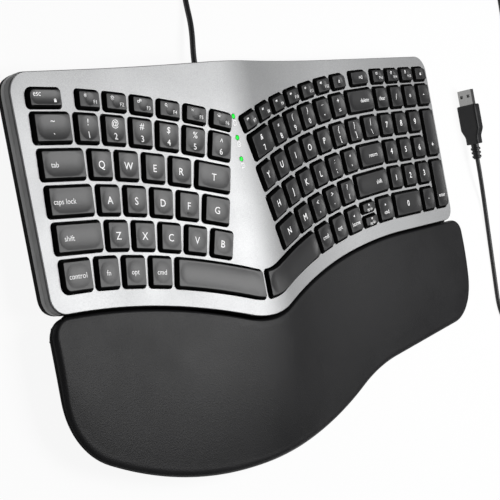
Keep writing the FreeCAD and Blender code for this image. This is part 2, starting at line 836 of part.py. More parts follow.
def bottom_shell():
    outer = deck_outline
    body = flare(inset(outer, d.shell_chamfer), shell_low, outer, chamfer_top)
    body = body.fuse(prism(outer, chamfer_top, BIG)).common(under_deck(d.band_depth))
    cavity_plan = inset(outer, d.shell_wall)
    cavity = flare(inset(outer, d.shell_wall + d.shell_chamfer - 1.0), floor_top, cavity_plan, chamfer_top + 1.0)
    body = body.cut(cavity.fuse(prism(cavity_plan, chamfer_top + 1.0, 2 * BIG)))
    bosses = [upright(place, d.boss_radius, floor_top - 0.5, BIG) for place in screw_places]
    posts = Part.Compound(bosses).common(under_deck(under_base))
    tongue_low = d.band_depth + 2 * d.layer_gap
    tongue_plan = inset(outer, d.band_lap + d.layer_gap)
    tongue = layer(d.frame_depth + d.frame_thickness + d.layer_gap, tongue_low, tongue_plan)
    tongue = tongue.cut(prism(cavity_plan, -BIG, BIG))
    stands = []
    for along in (-1, 1):
        for across in (-1, 1):
            corner = Vector(along * (d.board_length / 2 - d.board_stand_inset),
                            d.board_place + across * (d.board_width / 2 - d.board_stand_inset), 0)
            stands.append(upright(corner, d.board_stand_radius, floor_top - 0.5, d.board_height))
    body = body.multiFuse(posts.Solids + stands + [tongue])
    holes = [upright(place, d.screw_radius + d.screw_clearance, -BIG, BIG) for place in screw_places]
    holes += [upright(place, d.screw_head + d.screw_clearance, -BIG, head_seat) for place in screw_places]
    holes += [upright(place, d.foot_radius + 0.1, -BIG, shell_low + d.foot_recess) for place in deck_foot_places]
    holes += [tab_block(x, d.tab_clearance) for x in tab_places]
    mouth_length = d.shell_wall + d.shell_chamfer + 3.0
    mouth = Part.makeCylinder(d.gland_radius + 0.05, mouth_length,
                              Vector(d.cord_place, d.plate_back + 1.0 - mouth_length, d.gland_height), BACKWARD)
    return body.cut(Part.Compound(holes + [mouth]))


def case_screws():
    """Pan-head screws that pull the shell, the base plate and the key frame together."""
    found = []
    for place in screw_places:
        tip = deck_height(place.x) - d.frame_depth - d.frame_thickness
        head = upright(place, d.screw_head, head_seat - d.screw_head_height, head_seat)
        drive = upright(place, 1.0, 0, head_seat - d.screw_head_height / 2)
        found.append(head.fuse(upright(place, d.screw_radius, head_seat - 0.2, tip)).cut(drive))
    return Part.Compound(found)


# Palm rest


palm_foot_top = d.foot_height + d.foot_recess


def palm_rest_base():
    under = flare(inset(palm_plan, d.palm_undercut), d.foot_height, palm_plan, d.palm_rim_low)
    rim = prism(palm_plan, d.palm_rim_low, d.palm_rim_high)
    seat = prism(inset(palm_plan, d.palm_groove), d.palm_rim_high, d.palm_seat)
    body = under.fuse(rim).fuse(seat)
    room = prism(inset(palm_plan, d.palm_undercut + d.palm_wall), 0, d.palm_seat - d.palm_wall)
    body = body.cut(room)
    pillars = [upright(place, d.foot_radius + 1.5, d.foot_height, d.palm_seat - 0.5) for place in palm_foot_places]
    tabs = [tab_block(x, 0.0) for x in tab_places]
    body = body.multiFuse(pillars + tabs)
    seats = [upright(place, d.foot_radius + 0.1, -BIG, palm_foot_top) for place in palm_foot_places]
    return body.cut(Part.Compound(seats))


def palm_span(x):
    """Front and rear ends of the palm rest's plan at x."""
    strip = Part.Face(palm_plan).common(Part.makeLine(Vector(x, -FAR, 0), Vector(x, FAR, 0)))
    ends = [vertex.Point.y for vertex in strip.Vertexes]
    return min(ends), max(ends)


def cushion_section(x):
    """The cushion's closed section at x: flat seat, drawn-in sides and a crowned top."""
    front, rear = palm_span(x)
    end_room = min(x + d.palm_left, d.palm_right - x)
    softness = 12.0
    share = min(end_room / softness, 1.0)
    roundness = math.sqrt(1 - (1 - share) ** 2)
    hump = deck_height(x) - deck_height(d.wing_start)
    rear_top = deck_height(d.wing_start) - d.cushion_rear_drop + hump
    front_top = d.cushion_front_height + d.cushion_front_hump * hump
    rear_top = d.palm_seat + (rear_top - d.palm_seat) * (0.3 + 0.7 * roundness)
    front_top = d.palm_seat + (front_top - d.palm_seat) * (0.3 + 0.7 * roundness)
    tuck = d.cushion_bulge
    front_turn = min(9.0, (rear - front) / 4)
    rear_turn = min(3.5, (rear - front) / 5)
    bow = 0.25
    front, rear = front + bow, rear - bow
    front_low = Vector(x, front + tuck, d.palm_seat)
    front_bulge = Vector(x, front, d.palm_seat + 0.45 * (front_top - d.palm_seat))
    front_shoulder = Vector(x, front + front_turn, front_top)
    rear_shoulder = Vector(x, rear - rear_turn, rear_top)
    rear_bulge = Vector(x, rear, d.palm_seat + 0.6 * (rear_top - d.palm_seat))
    rear_low = Vector(x, rear - tuck, d.palm_seat)
    crown = (front_shoulder + rear_shoulder) * 0.5 + Vector(0, 0, d.cushion_crown * roundness)

    def bowed(start, end, swell):
        middle = (start + end) * 0.5
        across = Vector(0, end.z - start.z, start.y - end.y).normalize()
        return Part.Arc(start, middle + across * swell, end).toShape()

    return Part.Wire([
        bowed(front_low, front_bulge, -bow),
        bowed(front_bulge, front_shoulder, -0.2 * front_turn),
        Part.Arc(front_shoulder, crown, rear_shoulder).toShape(),
        bowed(rear_shoulder, rear_bulge, -0.2 * rear_turn),
        bowed(rear_bulge, rear_low, -bow),
        Part.makeLine(rear_low, front_low),
    ])


def palm_rest_cushion():
    """Sections bunched towards both ends, where the plan turns its corners."""
    count = 26
    end_flat = 0.8
    left = -d.palm_left + end_flat
    right = d.palm_right - end_flat
    stations = [(left + right) / 2 - (right - left) / 2 * math.cos(math.pi * number / (count - 1))
                for number in range(count)]
    return Part.makeLoft([cushion_section(x) for x in stations], True, False)


# Cord: straight runs joined by tangent arcs


coil_turn = 2 * math.pi * d.coil_turns
coil_centre = Vector(d.cord_place + 31.4, 182.5, 0)
coil_rise = d.coil_pitch
coil_start = coil_centre + Vector(-d.coil_outer, 0, d.cord_height)
coil_end = coil_centre + Vector(0, d.coil_outer, d.cord_height + coil_rise)
gland_tip = Vector(d.cord_place, d.plate_back + d.gland_length, d.gland_height)
relief_end = Vector(d.plug_x, d.plug_y - d.plug_neck - d.relief_length, d.plug_width / 2)

near_route = [
    gland_tip,
    gland_tip + Vector(0, 4.0, 0),
    gland_tip + Vector(5.4, 22.6, -1.6),
    Vector(coil_start.x - 1.8, coil_start.y - 26.0, d.cord_height),
    coil_start + Vector(0, -14.0, 0),
    coil_start + Vector(0, -d.cord_diameter, 0),
]
far_route = [
    coil_end + Vector(d.cord_diameter, 0, 0),
    coil_end + Vector(22.0, 0, 0),
    Vector(78.0, 202.5, 2.6),
    Vector(112.0, 200.0, d.cord_height),
    Vector(160.0, 198.0, d.cord_height),
    Vector(212.0, 200.0, d.cord_height),
    Vector(262.0, 199.0, d.cord_height),
    Vector(312.0, 195.0, d.cord_height),
    Vector(358.0, 190.0, d.cord_height),
    Vector(391.0, 186.0, d.cord_height),
    Vector(414.0, 179.0, d.cord_height),
    Vector(414.0, 150.0, d.cord_height),
    Vector(409.0, 88.0, d.cord_height),
    Vector(396.0, 44.0, d.cord_height),
    Vector(382.0, 2.0, d.cord_height),
    Vector(371.0, -36.0, d.cord_height),
    Vector(362.5, -68.0, d.cord_height),
    Vector(360.0, -97.0, d.cord_height),
    Vector(347.0, -110.5, d.cord_height),
    Vector(328.5, -110.0, d.cord_height),
    Vector(316.0, -96.0, d.cord_height),
    Vector(318.6, -66.0, d.cord_height),
    Vector(321.6, -30.0, d.cord_height),
    relief_end + Vector(7.4, -34.0, -4.9),
    relief_end + Vector(0, -10.0, 0),
    relief_end,
]


def cord_path(route, name):
    """The route as one wire, each arc as large as its two runs allow. Prints its smallest radius."""
    edges = []
    position = route[0]
    radii = []
    for before, point, after in zip(route, route[1:], route[2:]):
        arriving = point - before
        leaving = after - point
        room = 0.45 * min(arriving.Length, leaving.Length)
        into = Vector(arriving).normalize()
        out = Vector(leaving).normalize()
        turn = into.getAngle(out)
        radii.append(room / math.tan(turn / 2))
        start = point - into * room
        end = point + out * room
        bisector = (out - into).normalize()
        centre = point + bisector * (radii[-1] / math.cos(turn / 2))
        middle = centre - bisector * radii[-1]
        edges.append(Part.LineSegment(position, start).toShape())
        edges.append(Part.Arc(start, middle, end).toShape())
        position = end
    edges.append(Part.LineSegment(position, route[-1]).toShape())
    wire = Part.Wire(edges)
    print(f"{name}: length {wire.Length:.1f} smallest radius {min(radii):.1f} of {len(radii)} arcs")
    return wire


def tube(wire, radius, name):
    """A round tube along a wire, with its volume compared with its section times its length."""
    start = wire.Edges[0].Vertexes[0].Point
    direction = wire.Edges[0].tangentAt(wire.Edges[0].FirstParameter)
    ring = Part.Wire(Part.makeCircle(radius, start, direction))
    body = wire.makePipeShell([ring], True, False)
    expected = math.pi * radius ** 2 * wire.Length
    print(f"{name}: volume {body.Volume:.0f} of {expected:.0f}")
    return body


def coil_place(share):
    """A point of the coil at a share of its turning, clockwise from its left side."""
    turned = share * coil_turn
    polar = math.pi - turned
    middle = 0.5
    radius = d.coil_outer - d.coil_pitch * d.coil_turns * (middle - abs(share - middle))
    climb_turns = 0.5
    climb = (share - middle) * d.coil_turns / climb_turns + 0.5
    climb = min(max(climb, 0.0), 1.0)
    height = d.cord_height + coil_rise * climb * climb * (3 - 2 * climb)
    return coil_centre + Vector(radius * math.cos(polar), radius * math.sin(polar), height)


def coil_heading(share):
    """The coil's direction at a share of its turning."""
    step = 1e-5
    if share <= 0:
        return Vector(0, 1, 0)
    if share >= 1:
        return Vector(1, 0, 0)
    return (coil_place(share + step) - coil_place(share - step)).normalize()


def arc_along(start, heading, end):
    """The arc that leaves start along a heading and ends at end."""
    chord = end - start
    across = (chord - heading * chord.dot(heading))
    if across.Length < 1e-7 * chord.Length:
        return Part.LineSegment(start, end).toShape()
    across = across.normalize()
    radius = chord.dot(chord) / (2 * chord.dot(across))
    centre = start + across * radius
    half = ((start + end) * 0.5 - centre).normalize()
    return Part.Arc(start, centre + half * abs(radius), end).toShape()


def biarc(start, heading, end, end_heading):
    """Two tangent arcs from one point and direction to another."""
    chord = end - start
    both = heading + end_heading
    slack = 2 * (1 - heading.dot(end_heading))
    reach = (-chord.dot(both) + math.sqrt(chord.dot(both) ** 2 + slack * chord.dot(chord))) / slack
    joint = (start + heading * reach + end - end_heading * reach) * 0.5
    first = arc_along(start, heading, joint)
    back = arc_along(end, end_heading * -1, joint)
    points = [back.valueAt(back.FirstParameter + (back.LastParameter - back.FirstParameter) * part)
              for part in (1.0, 0.5, 0.0)]
    return [first, Part.Arc(*points).toShape()]


def coil_wire():
    """The coil in eighths of a turn, with a straight diameter at each end."""
    steps = round(d.coil_turns * 8)
    edges = [Part.makeLine(coil_start - Vector(0, d.cord_diameter, 0), coil_start)]
    for number in range(steps):
        here = number / steps
        there = (number + 1) / steps
        edges += biarc(coil_place(here), coil_heading(here), coil_place(there), coil_heading(there))
    edges.append(Part.makeLine(coil_end, coil_end + Vector(d.cord_diameter, 0, 0)))
    return Part.Wire(edges)


def coil_gap():
    """The least gap between the coil's turns, measured on points over a third of a turn apart."""
    count = 900
    points = [coil_place(number / count) for number in range(count + 1)]
    apart = round(count / d.coil_turns / 3)
    least = min((points[first] - points[second]).Length
                for first in range(0, count, 3) for second in range(first + apart, count + 1, 2))
    return least - d.cord_diameter


def cord_gland():
    """The strain relief at the back of the case: a flange inside, a neck and a tapered sleeve."""
    axis = Vector(0, 1, 0)
    wall_inside = d.plate_back - d.shell_wall - d.shell_chamfer + 1.0 - d.layer_gap
    flange = Part.makeCylinder(d.gland_flange, d.gland_flange_length,
                               Vector(d.cord_place, wall_inside - d.gland_flange_length, d.gland_height), axis)
    above_floor = Vector(d.cord_place - BIG / 2, wall_inside - BIG, floor_top + d.layer_gap)
    flange = flange.common(Part.makeBox(BIG, BIG, BIG, above_floor))
    neck = Part.makeCylinder(d.gland_radius, d.plate_back + 1.0 - wall_inside,
                             Vector(d.cord_place, wall_inside - 0.5, d.gland_height), axis)
    sleeve_start = d.plate_back + 0.5
    sleeve_length = d.plate_back + d.gland_length - sleeve_start
    sleeve = Part.makeCone(d.gland_radius, d.gland_tip_radius, sleeve_length,
                           Vector(d.cord_place, sleeve_start, d.gland_height), axis)
    return flange.multiFuse([neck, sleeve]).removeSplitter()


# Plug: it lies on its narrow edge with its wide faces upright


overmold_end = d.plug_y + d.plug_body - d.plug_neck


def upright_plug_section(y, thickness, width, corner):
    """A rounded rectangle across the plug's axis."""
    corner = min(corner, thickness / 2 - 0.1, width / 2 - 0.1)
    wire = pillow(thickness, width, [corner] * 4, 0.0)
    wire.rotate(Vector(0, 0, 0), Vector(1, 0, 0), 90)
    wire.translate(Vector(d.plug_x, y, d.plug_width / 2))
    return wire


def plug_overmold():
    """The moulded grip: full width over the body, drawn in at the shoulders to a neck."""
    neck_start = d.plug_y - d.plug_neck
    shoulder = d.plug_y
    sections = [
        (neck_start, d.plug_neck_thickness, d.plug_neck_width, d.plug_corner),
        (neck_start + 0.5 * d.plug_neck, d.plug_neck_thickness, d.plug_neck_width, d.plug_corner),
        (shoulder, d.plug_thickness, d.plug_width, d.plug_corner),
        (overmold_end, d.plug_thickness, d.plug_width, d.plug_corner),
    ]
    body = None
    for start, end in zip(sections, sections[1:]):
        part = block_between(upright_plug_section(*start), upright_plug_section(*end))
        body = part if body is None else body.fuse(part)
    bevel = 1.2
    tip = block_between(
        upright_plug_section(overmold_end, d.plug_thickness, d.plug_width, d.plug_corner),
        upright_plug_section(overmold_end + d.plug_tip, d.plug_thickness - bevel, d.plug_width - bevel, d.plug_corner))
    return body.fuse(tip).removeSplitter()


def plug_strain_relief():
    """A tapered sleeve with three rings where the cord enters the plug."""
    axis = Vector(0, 1, 0)
    start = Vector(d.plug_x, relief_end.y, d.plug_width / 2)
    body = Part.makeCone(d.relief_tip, d.relief_radius, d.relief_length, start, axis)
    first_gap = 2.5
    rings = []
    for number in range(3):
        place = start + axis * (d.relief_ring_length / 2 + number * (d.relief_length - first_gap) / 3)
        radius = d.relief_tip + (d.relief_radius - d.relief_tip) * (number + 1) / 3 + d.relief_ring
        rings.append(Part.makeCylinder(radius, d.relief_ring_length, place, axis))
    return body.multiFuse(rings)


# Pieces made of plain blocks, bound to the sheet


ORIGIN_X = "(Sizes.palm_right - Sizes.palm_left) / 2"
ORIGIN_Y = "(Sizes.plate_back + Sizes.band_out - Sizes.palm_front) / 2"


def bound(kind, name, properties, x, y, z):
    """A primitive whose sizes and place are expressions of the sheet."""
    body = doc.addObject(kind, name)
    body.Label = name
    for property_name, expression in properties.items():
        body.setExpression(property_name, expression)
    body.setExpression("Placement.Base.x", f"{x} - {ORIGIN_X}")
    body.setExpression("Placement.Base.y", f"{y} - {ORIGIN_Y}")
    body.setExpression("Placement.Base.z", z)
    return body


def box(name, length, width, height, x, y, z):
    return bound("Part::Box", name, {"Length": length, "Width": width, "Height": height}, x, y, z)


def controller_board():
    """The circuit board with its main chip and the cord's socket."""
    top = "Sizes.board_height + Sizes.board_thickness"
    board = box("board_panel", "Sizes.board_length", "Sizes.board_width", "Sizes.board_thickness",
                "-Sizes.board_length / 2", "Sizes.board_place - Sizes.board_width / 2", "Sizes.board_height")
    chip = box("board_chip", "Sizes.chip_size", "Sizes.chip_size", "Sizes.chip_height",
               "-Sizes.chip_size", "Sizes.board_place - Sizes.chip_size / 2", top)
    socket = box("board_socket", "Sizes.socket_length", "Sizes.chip_size", "Sizes.socket_height",
                 "Sizes.chip_size", "Sizes.board_place - Sizes.chip_size / 2", top)
    joined = doc.addObject("Part::MultiFuse", "controller_board")
    joined.Label = "controller_board"
    joined.Shapes = [board, chip, socket]
    pieces.append(joined)


def plug_shell():
    """The plug's folded metal shell: a box open at its tip, with two windows in each wide face."""
    sheet_metal = "Sizes.shell_sheet"
    low = "Sizes.plug_width / 2 - Sizes.shell_width / 2"
    left = "Sizes.plug_x - Sizes.shell_thickness / 2"
    start = "Sizes.plug_y + Sizes.plug_body - Sizes.plug_neck + Sizes.plug_tip"
    outside = box("shell_outside", "Sizes.shell_thickness", "Sizes.shell_length", "Sizes.shell_width",
                  left, start, low)
    inside = box("shell_inside", f"Sizes.shell_thickness - 2 * {sheet_metal}", "Sizes.shell_length",
                 f"Sizes.shell_width - 2 * {sheet_metal}", f"{left} + {sheet_metal}",
                 f"{start} + {sheet_metal}", f"{low} + {sheet_metal}")
    windows = []
    for number, side in enumerate(("-", "+")):
        middle = f"Sizes.plug_width / 2 {side} Sizes.shell_width / 4 - Sizes.shell_window / 2"
        windows.append(box(f"shell_window_{number}", "2 * Sizes.shell_thickness", "Sizes.shell_window",
                           "Sizes.shell_window", f"{left} - Sizes.shell_thickness / 2",
                           f"{start} + Sizes.shell_window_place - Sizes.shell_window / 2", middle))
    hollow = doc.addObject("Part::MultiFuse", "shell_hollow")
    hollow.Shapes = [inside] + windows
    shell = doc.addObject("Part::Cut", "plug_shell")
    shell.Label = "plug_shell"
    shell.Base = outside
    shell.Tool = hollow
    pieces.append(shell)


def plug_tongue():
    """The plastic tongue that carries the contacts, against one wide wall of the shell."""
    sheet_metal = "Sizes.shell_sheet"
    tongue = box("plug_tongue", "Sizes.tongue_thickness",
                 f"Sizes.shell_length - Sizes.tongue_short - {sheet_metal}",
                 f"Sizes.shell_width - 2 * {sheet_metal} - 0.1",
                 f"Sizes.plug_x + Sizes.shell_thickness / 2 - {sheet_metal} - Sizes.tongue_thickness",
                 f"Sizes.plug_y + Sizes.plug_body - Sizes.plug_neck + Sizes.plug_tip + {sheet_metal}",
                 f"Sizes.plug_width / 2 - Sizes.shell_width / 2 + {sheet_metal} + 0.05")
    pieces.append(tongue)


# Building


key_nodes = sorted({key.node for key in keys})
for node in key_nodes:
    caps = []
    for key in keys:
        if key.node == node:
            shape = cap(key.width, key.depth, key.big_corner, node in ("key_f", "key_j"))
            caps.append(placed(shape, key.placement()))
    keep(node, caps[0] if len(caps) == 1 else Part.Compound(caps))
for node in SPACE_SIDES:
    keep(node, space_bar(node))

keep("top_plate", top_plate())
keep("key_frame", key_frame())
keep("dome_sheet", dome_sheet())
keep("membrane", membrane())
keep("base_plate", base_plate())
keep("side_band", side_band())
keep("bottom_shell", bottom_shell())
keep("case_screws", case_screws())
light_depth = d.frame_depth
keep("led_lenses", Part.Compound([
    upright(place, d.light_radius, deck_height(place.x) - light_depth * 0.99, deck_height(place.x) + 0.15)
    for place in light_places]))
foot_height = d.foot_height + d.foot_recess
keep("rubber_feet", Part.Compound([
    upright(place, d.foot_radius, 0, foot_height) for place in deck_foot_places + palm_foot_places]))
keep("palm_rest_base", palm_rest_base())
keep("palm_rest_cushion", palm_rest_cushion())
keep("cord_gland", cord_gland())
keep("cord_tube_near", tube(cord_path(near_route, "cord_tube_near"), cord_radius, "cord_tube_near"))
keep("cord_coil", tube(coil_wire(), cord_radius, "cord_coil"))
print(f"cord_coil: length {coil_wire().Length:.1f} least gap {coil_gap():.2f}")
keep("cord_tube_far", tube(cord_path(far_route, "cord_tube_far"), cord_radius, "cord_tube_far"))
keep("plug_overmold", plug_overmold())
keep("plug_strain_relief", plug_strain_relief())
controller_board()
plug_shell()
plug_tongue()
doc.recompute()

for thing in doc.Objects:
    if "Invalid" in thing.State or "Error" in thing.State:
        raise RuntimeError(f"{thing.Name} is {thing.State}")
for piece in pieces:
    if piece.Shape.isNull() or not piece.Shape.isValid():
        raise RuntimeError(f"{piece.Label} has no valid shape")

os.makedirs("parts", exist_ok=True)
for piece in pieces:
    piece.Shape.exportStep(f"parts/{piece.Label}.step")
whole = FreeCAD.BoundBox()
for piece in pieces:
    if not piece.Label.startswith(("cord_", "plug_")):
        whole.add(piece.Shape.BoundBox)
print(f"{len(pieces)} pieces, {len(keys) + len(SPACE_SIDES)} keys")
print(f"without the cord: {whole.XMin:.2f} {whole.YMin:.2f} {whole.ZMin:.2f} to "
      f"{whole.XMax:.2f} {whole.YMax:.2f} {whole.ZMax:.2f}")
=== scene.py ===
import bpy
import bmesh
import math
import numpy as np
from mathutils.geometry import delaunay_2d_cdt
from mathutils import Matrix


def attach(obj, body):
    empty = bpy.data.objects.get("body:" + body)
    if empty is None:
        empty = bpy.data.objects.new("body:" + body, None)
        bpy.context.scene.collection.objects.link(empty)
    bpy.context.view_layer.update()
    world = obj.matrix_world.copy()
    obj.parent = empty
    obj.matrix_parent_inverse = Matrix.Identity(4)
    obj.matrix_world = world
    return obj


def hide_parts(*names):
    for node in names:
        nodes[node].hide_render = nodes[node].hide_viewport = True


# Gull-wing keyboard: the looks around the fixed frame.
# Shapes are worked out in millimetres with the ridge line at x = 0, as in the part's drawing,
# and moved over the footprint's middle, in metres, when they become a mesh. Angles among the named
# values are degrees.

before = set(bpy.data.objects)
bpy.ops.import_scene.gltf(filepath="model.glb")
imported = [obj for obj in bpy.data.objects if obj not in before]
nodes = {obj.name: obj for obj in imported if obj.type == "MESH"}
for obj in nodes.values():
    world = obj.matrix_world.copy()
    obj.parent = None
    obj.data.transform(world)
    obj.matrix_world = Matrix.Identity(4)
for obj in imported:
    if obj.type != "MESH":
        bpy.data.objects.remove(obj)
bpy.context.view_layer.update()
print("stage: frame loaded,", len(nodes), "nodes")


# A new object in the scene for a mesh, a curve, a lamp or a camera.
def linkObject(name, data):
    made = bpy.data.objects.new(name, data)
    bpy.context.scene.collection.objects.link(made)
    return made


# Camera

camera = {
    "place": (-0.58446, 0.02906, 0.47921),
    "turn": (10.4742, -48.8176, -16.3037),
    "lens": 85.02,
    "sensor": 36.0,
    "clipStart": 0.01,
}


def addCamera():
    data = bpy.data.cameras.new("photoCamera")
    data.lens = camera["lens"]
    data.sensor_width = camera["sensor"]
    data.sensor_fit = "HORIZONTAL"
    data.clip_start = camera["clipStart"]
    holder = linkObject("photoCamera", data)
    holder.location = camera["place"]
    holder.rotation_euler = [math.radians(angle) for angle in camera["turn"]]
    bpy.context.scene.camera = holder


addCamera()


# Deck section and plan

deck = {
    "ridgeHeight": 30.0,
    "crownHalf": 20.0,
    "crownSlope": 10.0,
    "wingStart": 110.0,
    "wingSlope": 0.2,
    "thickness": 1.5,
}
fans = {
    "offset": 168.0,
    "datum": 448.35,
    "firstRow": 532.5,
    "functionRow": 548.05,
    "pitch": 19.0,
    "web": 2.1,
    "functionHole": 11.1,
    "bottomHole": 17.85,
    "bottomPitch": 19.2,
    "leftMargin": 150.7,
    "rightMargin": 160.3,
    "split": -4.0,
    "halfWeb": 1.2,
    "noseRadius": 57.4,
}
case = {
    "left": 158.3,
    "right": 239.0,
    "back": 112.9,
    "frontBezel": 9.55,
    "backCorner": 12.0,
    "frontLeftCorner": 10.0,
    "frontRightCorner": 9.0,
    "edgeRoll": 0.35,
    "bandOut": 2.0,
    "bandLap": 1.2,
    "bandGroove": 0.4,
    "bandDepth": 9.0,
    "greyDepth": 5.2,
    "greyEdge": 0.4,
    "blackStart": 0.25,
    "lipDraw": 0.5,
    "seam": 0.25,
    "seamRise": 1.0,
    "backDraw": 0.75,
    "backFacing": (0.5, 0.9),
    "frontDraw": 0.7,
    "frontFacing": (0.6, 0.95),
    # Band faces turned further to the front than this take the black plastic as painted shade.
    "paintedShadeFacing": 0.8,
    "bandRoll": 0.7,
    "bandSharpAngle": 50,
    "outlineStep": 3.0,
    "gridStep": 4.0,
}
palm = {
    "gap": 1.5,
    "left": 160.0,
    "right": 251.0,
    "front": 126.0,
    "bellyRadius": 268.0,
    "bellyPlace": 8.0,
    "flankPlace": 209.6,
    "flankFront": 88.7,
    "flankSlope": 5.0,
    "leftFrontCorner": 45.0,
    "rightFrontCorner": 30.0,
    "hollowRadius": 150.0,
    "rearLeftCorner": 11.0,
    "rearRightCorner": 10.5,
    "seat": 12.5,
    "rearDrop": 0.6,
    "frontHeight": 17.2,
    "frontHump": 0.3,
    "crown": 1.6,
    "tuck": 3.0,
    "rollFront": 5.0,
    "rollRear": 1.8,
    "rollTurns": (80, 70, 58, 45, 32, 18, 0),
    "shoulder": 0.5,
    "sideShares": (0.36, 0.22, 0.1, 0.0),
    "sharpAngle": 60,
}

letterHole = fans["pitch"] - fans["web"]
letterRows = [fans["firstRow"] - row * fans["pitch"] for row in range(4)]
lettersEnd = fans["firstRow"] - 3.5 * fans["pitch"] - fans["web"] / 2
frontRadius = lettersEnd - fans["bottomHole"] - case["frontBezel"]
bottomRow = frontRadius + case["frontBezel"] + fans["bottomHole"] / 2
rowRadii = [fans["functionRow"]] + letterRows + [bottomRow]
rowHoles = [fans["functionHole"]] + [letterHole] * 4 + [fans["bottomHole"]]
middle = np.array([44.35, -5.55, 0.0])  # of the frame's footprint, in this drawing

crownSine = math.sin(math.radians(deck["crownSlope"]))
crownCosine = math.cos(math.radians(deck["crownSlope"]))
wingSine = math.sin(math.radians(deck["wingSlope"]))
crownRadius = deck["crownHalf"] / crownSine
valleyRadius = (deck["wingStart"] - deck["crownHalf"]) / (crownSine - wingSine)


# Slope of the deck at x: grows as an arc over the crown, shrinks along a hollow arc, then stays.
def fallAngle(x):
    reach = np.abs(x)
    hollow = np.clip(crownSine - (reach - deck["crownHalf"]) / valleyRadius, wingSine, crownSine)
    return np.arcsin(np.where(reach <= deck["crownHalf"], reach / crownRadius, hollow))


# Height of the deck at x: the ridge less the drop of a circle over the crown, of the hollow arc
# beyond it and of the straight wing beyond that.
def deckHeight(x):
    reach = np.abs(x)
    fall = fallAngle(x)
    crown = crownRadius * (1 - np.cos(fall))
    hollow = crownRadius * (1 - crownCosine) + valleyRadius * (np.cos(fall) - crownCosine)
    wing = np.maximum(reach - deck["wingStart"], 0) * math.tan(math.radians(deck["wingSlope"]))
    return deck["ridgeHeight"] - np.where(reach <= deck["crownHalf"], crown, hollow + wing)


# Turn of the deck's face about the front-to-back axis: positive where it rises to the right.
def tilt(x):
    return -np.sign(x) * fallAngle(x)


# Plan points with a height over the deck's face, measured square to it.
def onDeck(plan, height):
    x = plan[..., 0]
    lean = tilt(x)
    return np.stack([x - height * np.sin(lean), plan[..., 1], deckHeight(x) + height * np.cos(lean)], -1)


# Line through both fans at one radius: a circle about each fan's centre, with a round nose between
# them at the ridge, and straight on beyond the right fan's centre.
def fanLine(x, radius):
    nose = fans["noseRadius"] - (radius - frontRadius)
    reach = np.abs(x)
    noseEnd = fans["offset"] * nose / (radius + nose)
    arc = np.sqrt(radius ** 2 - np.maximum(fans["offset"] - reach, 0) ** 2)
    noseCentre = np.sqrt((radius + nose) ** 2 - fans["offset"] ** 2)
    tip = noseCentre - np.sqrt(np.maximum(nose ** 2 - x ** 2, 0))
    return np.where(reach < noseEnd, tip, arc) - fans["datum"]


# Points of a circle between two angles in degrees.
def arcPoints(centre, radius, start, end, count):
    angles = np.radians(np.linspace(start, end, count))
    return np.stack([centre[0] + radius * np.cos(angles), centre[1] + radius * np.sin(angles)], -1)


# A closed line with evenly spaced points put in wherever two neighbours are more than a step apart.
def densify(loop, step):
    parts = []
    for here, there in zip(loop, np.roll(loop, -1, axis=0)):
        count = max(int(math.ceil(np.linalg.norm(there - here) / step)), 1)
        if np.linalg.norm(there - here) > 1e-6:
            parts.append(here + (there - here) * np.linspace(0, 1, count, endpoint=False)[:, None])
    return np.vstack(parts)


# Outward directions of an anticlockwise closed line: square to the chord between its neighbours.
def outward(loop):
    along = np.roll(loop, -1, axis=0) - np.roll(loop, 1, axis=0)
    across = np.stack([along[:, 1], -along[:, 0]], -1)
    return across / np.linalg.norm(across, axis=1, keepdims=True)


# Plan of the plate, anticlockwise: the fan line in front, straight sides and back, round corners.
def deckLoop():
    left, right, back = -case["left"], case["right"], case["back"]
    corner = case["frontLeftCorner"]
    centreX = left + corner
    fromFan = fans["offset"] + centreX
    centreY = math.sqrt((frontRadius + corner) ** 2 - fromFan ** 2) - fans["datum"]
    touch = math.degrees(math.atan2(-fans["datum"] - centreY, -fromFan)) % 360
    rightCorner = case["frontRightCorner"]
    backCorner = case["backCorner"]
    startX = centreX + corner * math.cos(math.radians(touch))
    frontX = np.arange(startX, right - rightCorner, case["outlineStep"])
    front = np.stack([frontX, fanLine(frontX, frontRadius)], -1)
    frontRight = (right - rightCorner, frontRadius - fans["datum"] + rightCorner)
    loop = np.vstack([
        front,
        arcPoints(frontRight, rightCorner, -90, 0, 9),
        arcPoints((right - backCorner, back - backCorner), backCorner, 0, 90, 11),
        arcPoints((left + backCorner, back - backCorner), backCorner, 90, 180, 11),
        arcPoints((centreX, centreY), corner, 180, touch, 9)[:-1],
    ])
    return densify(loop, case["outlineStep"])


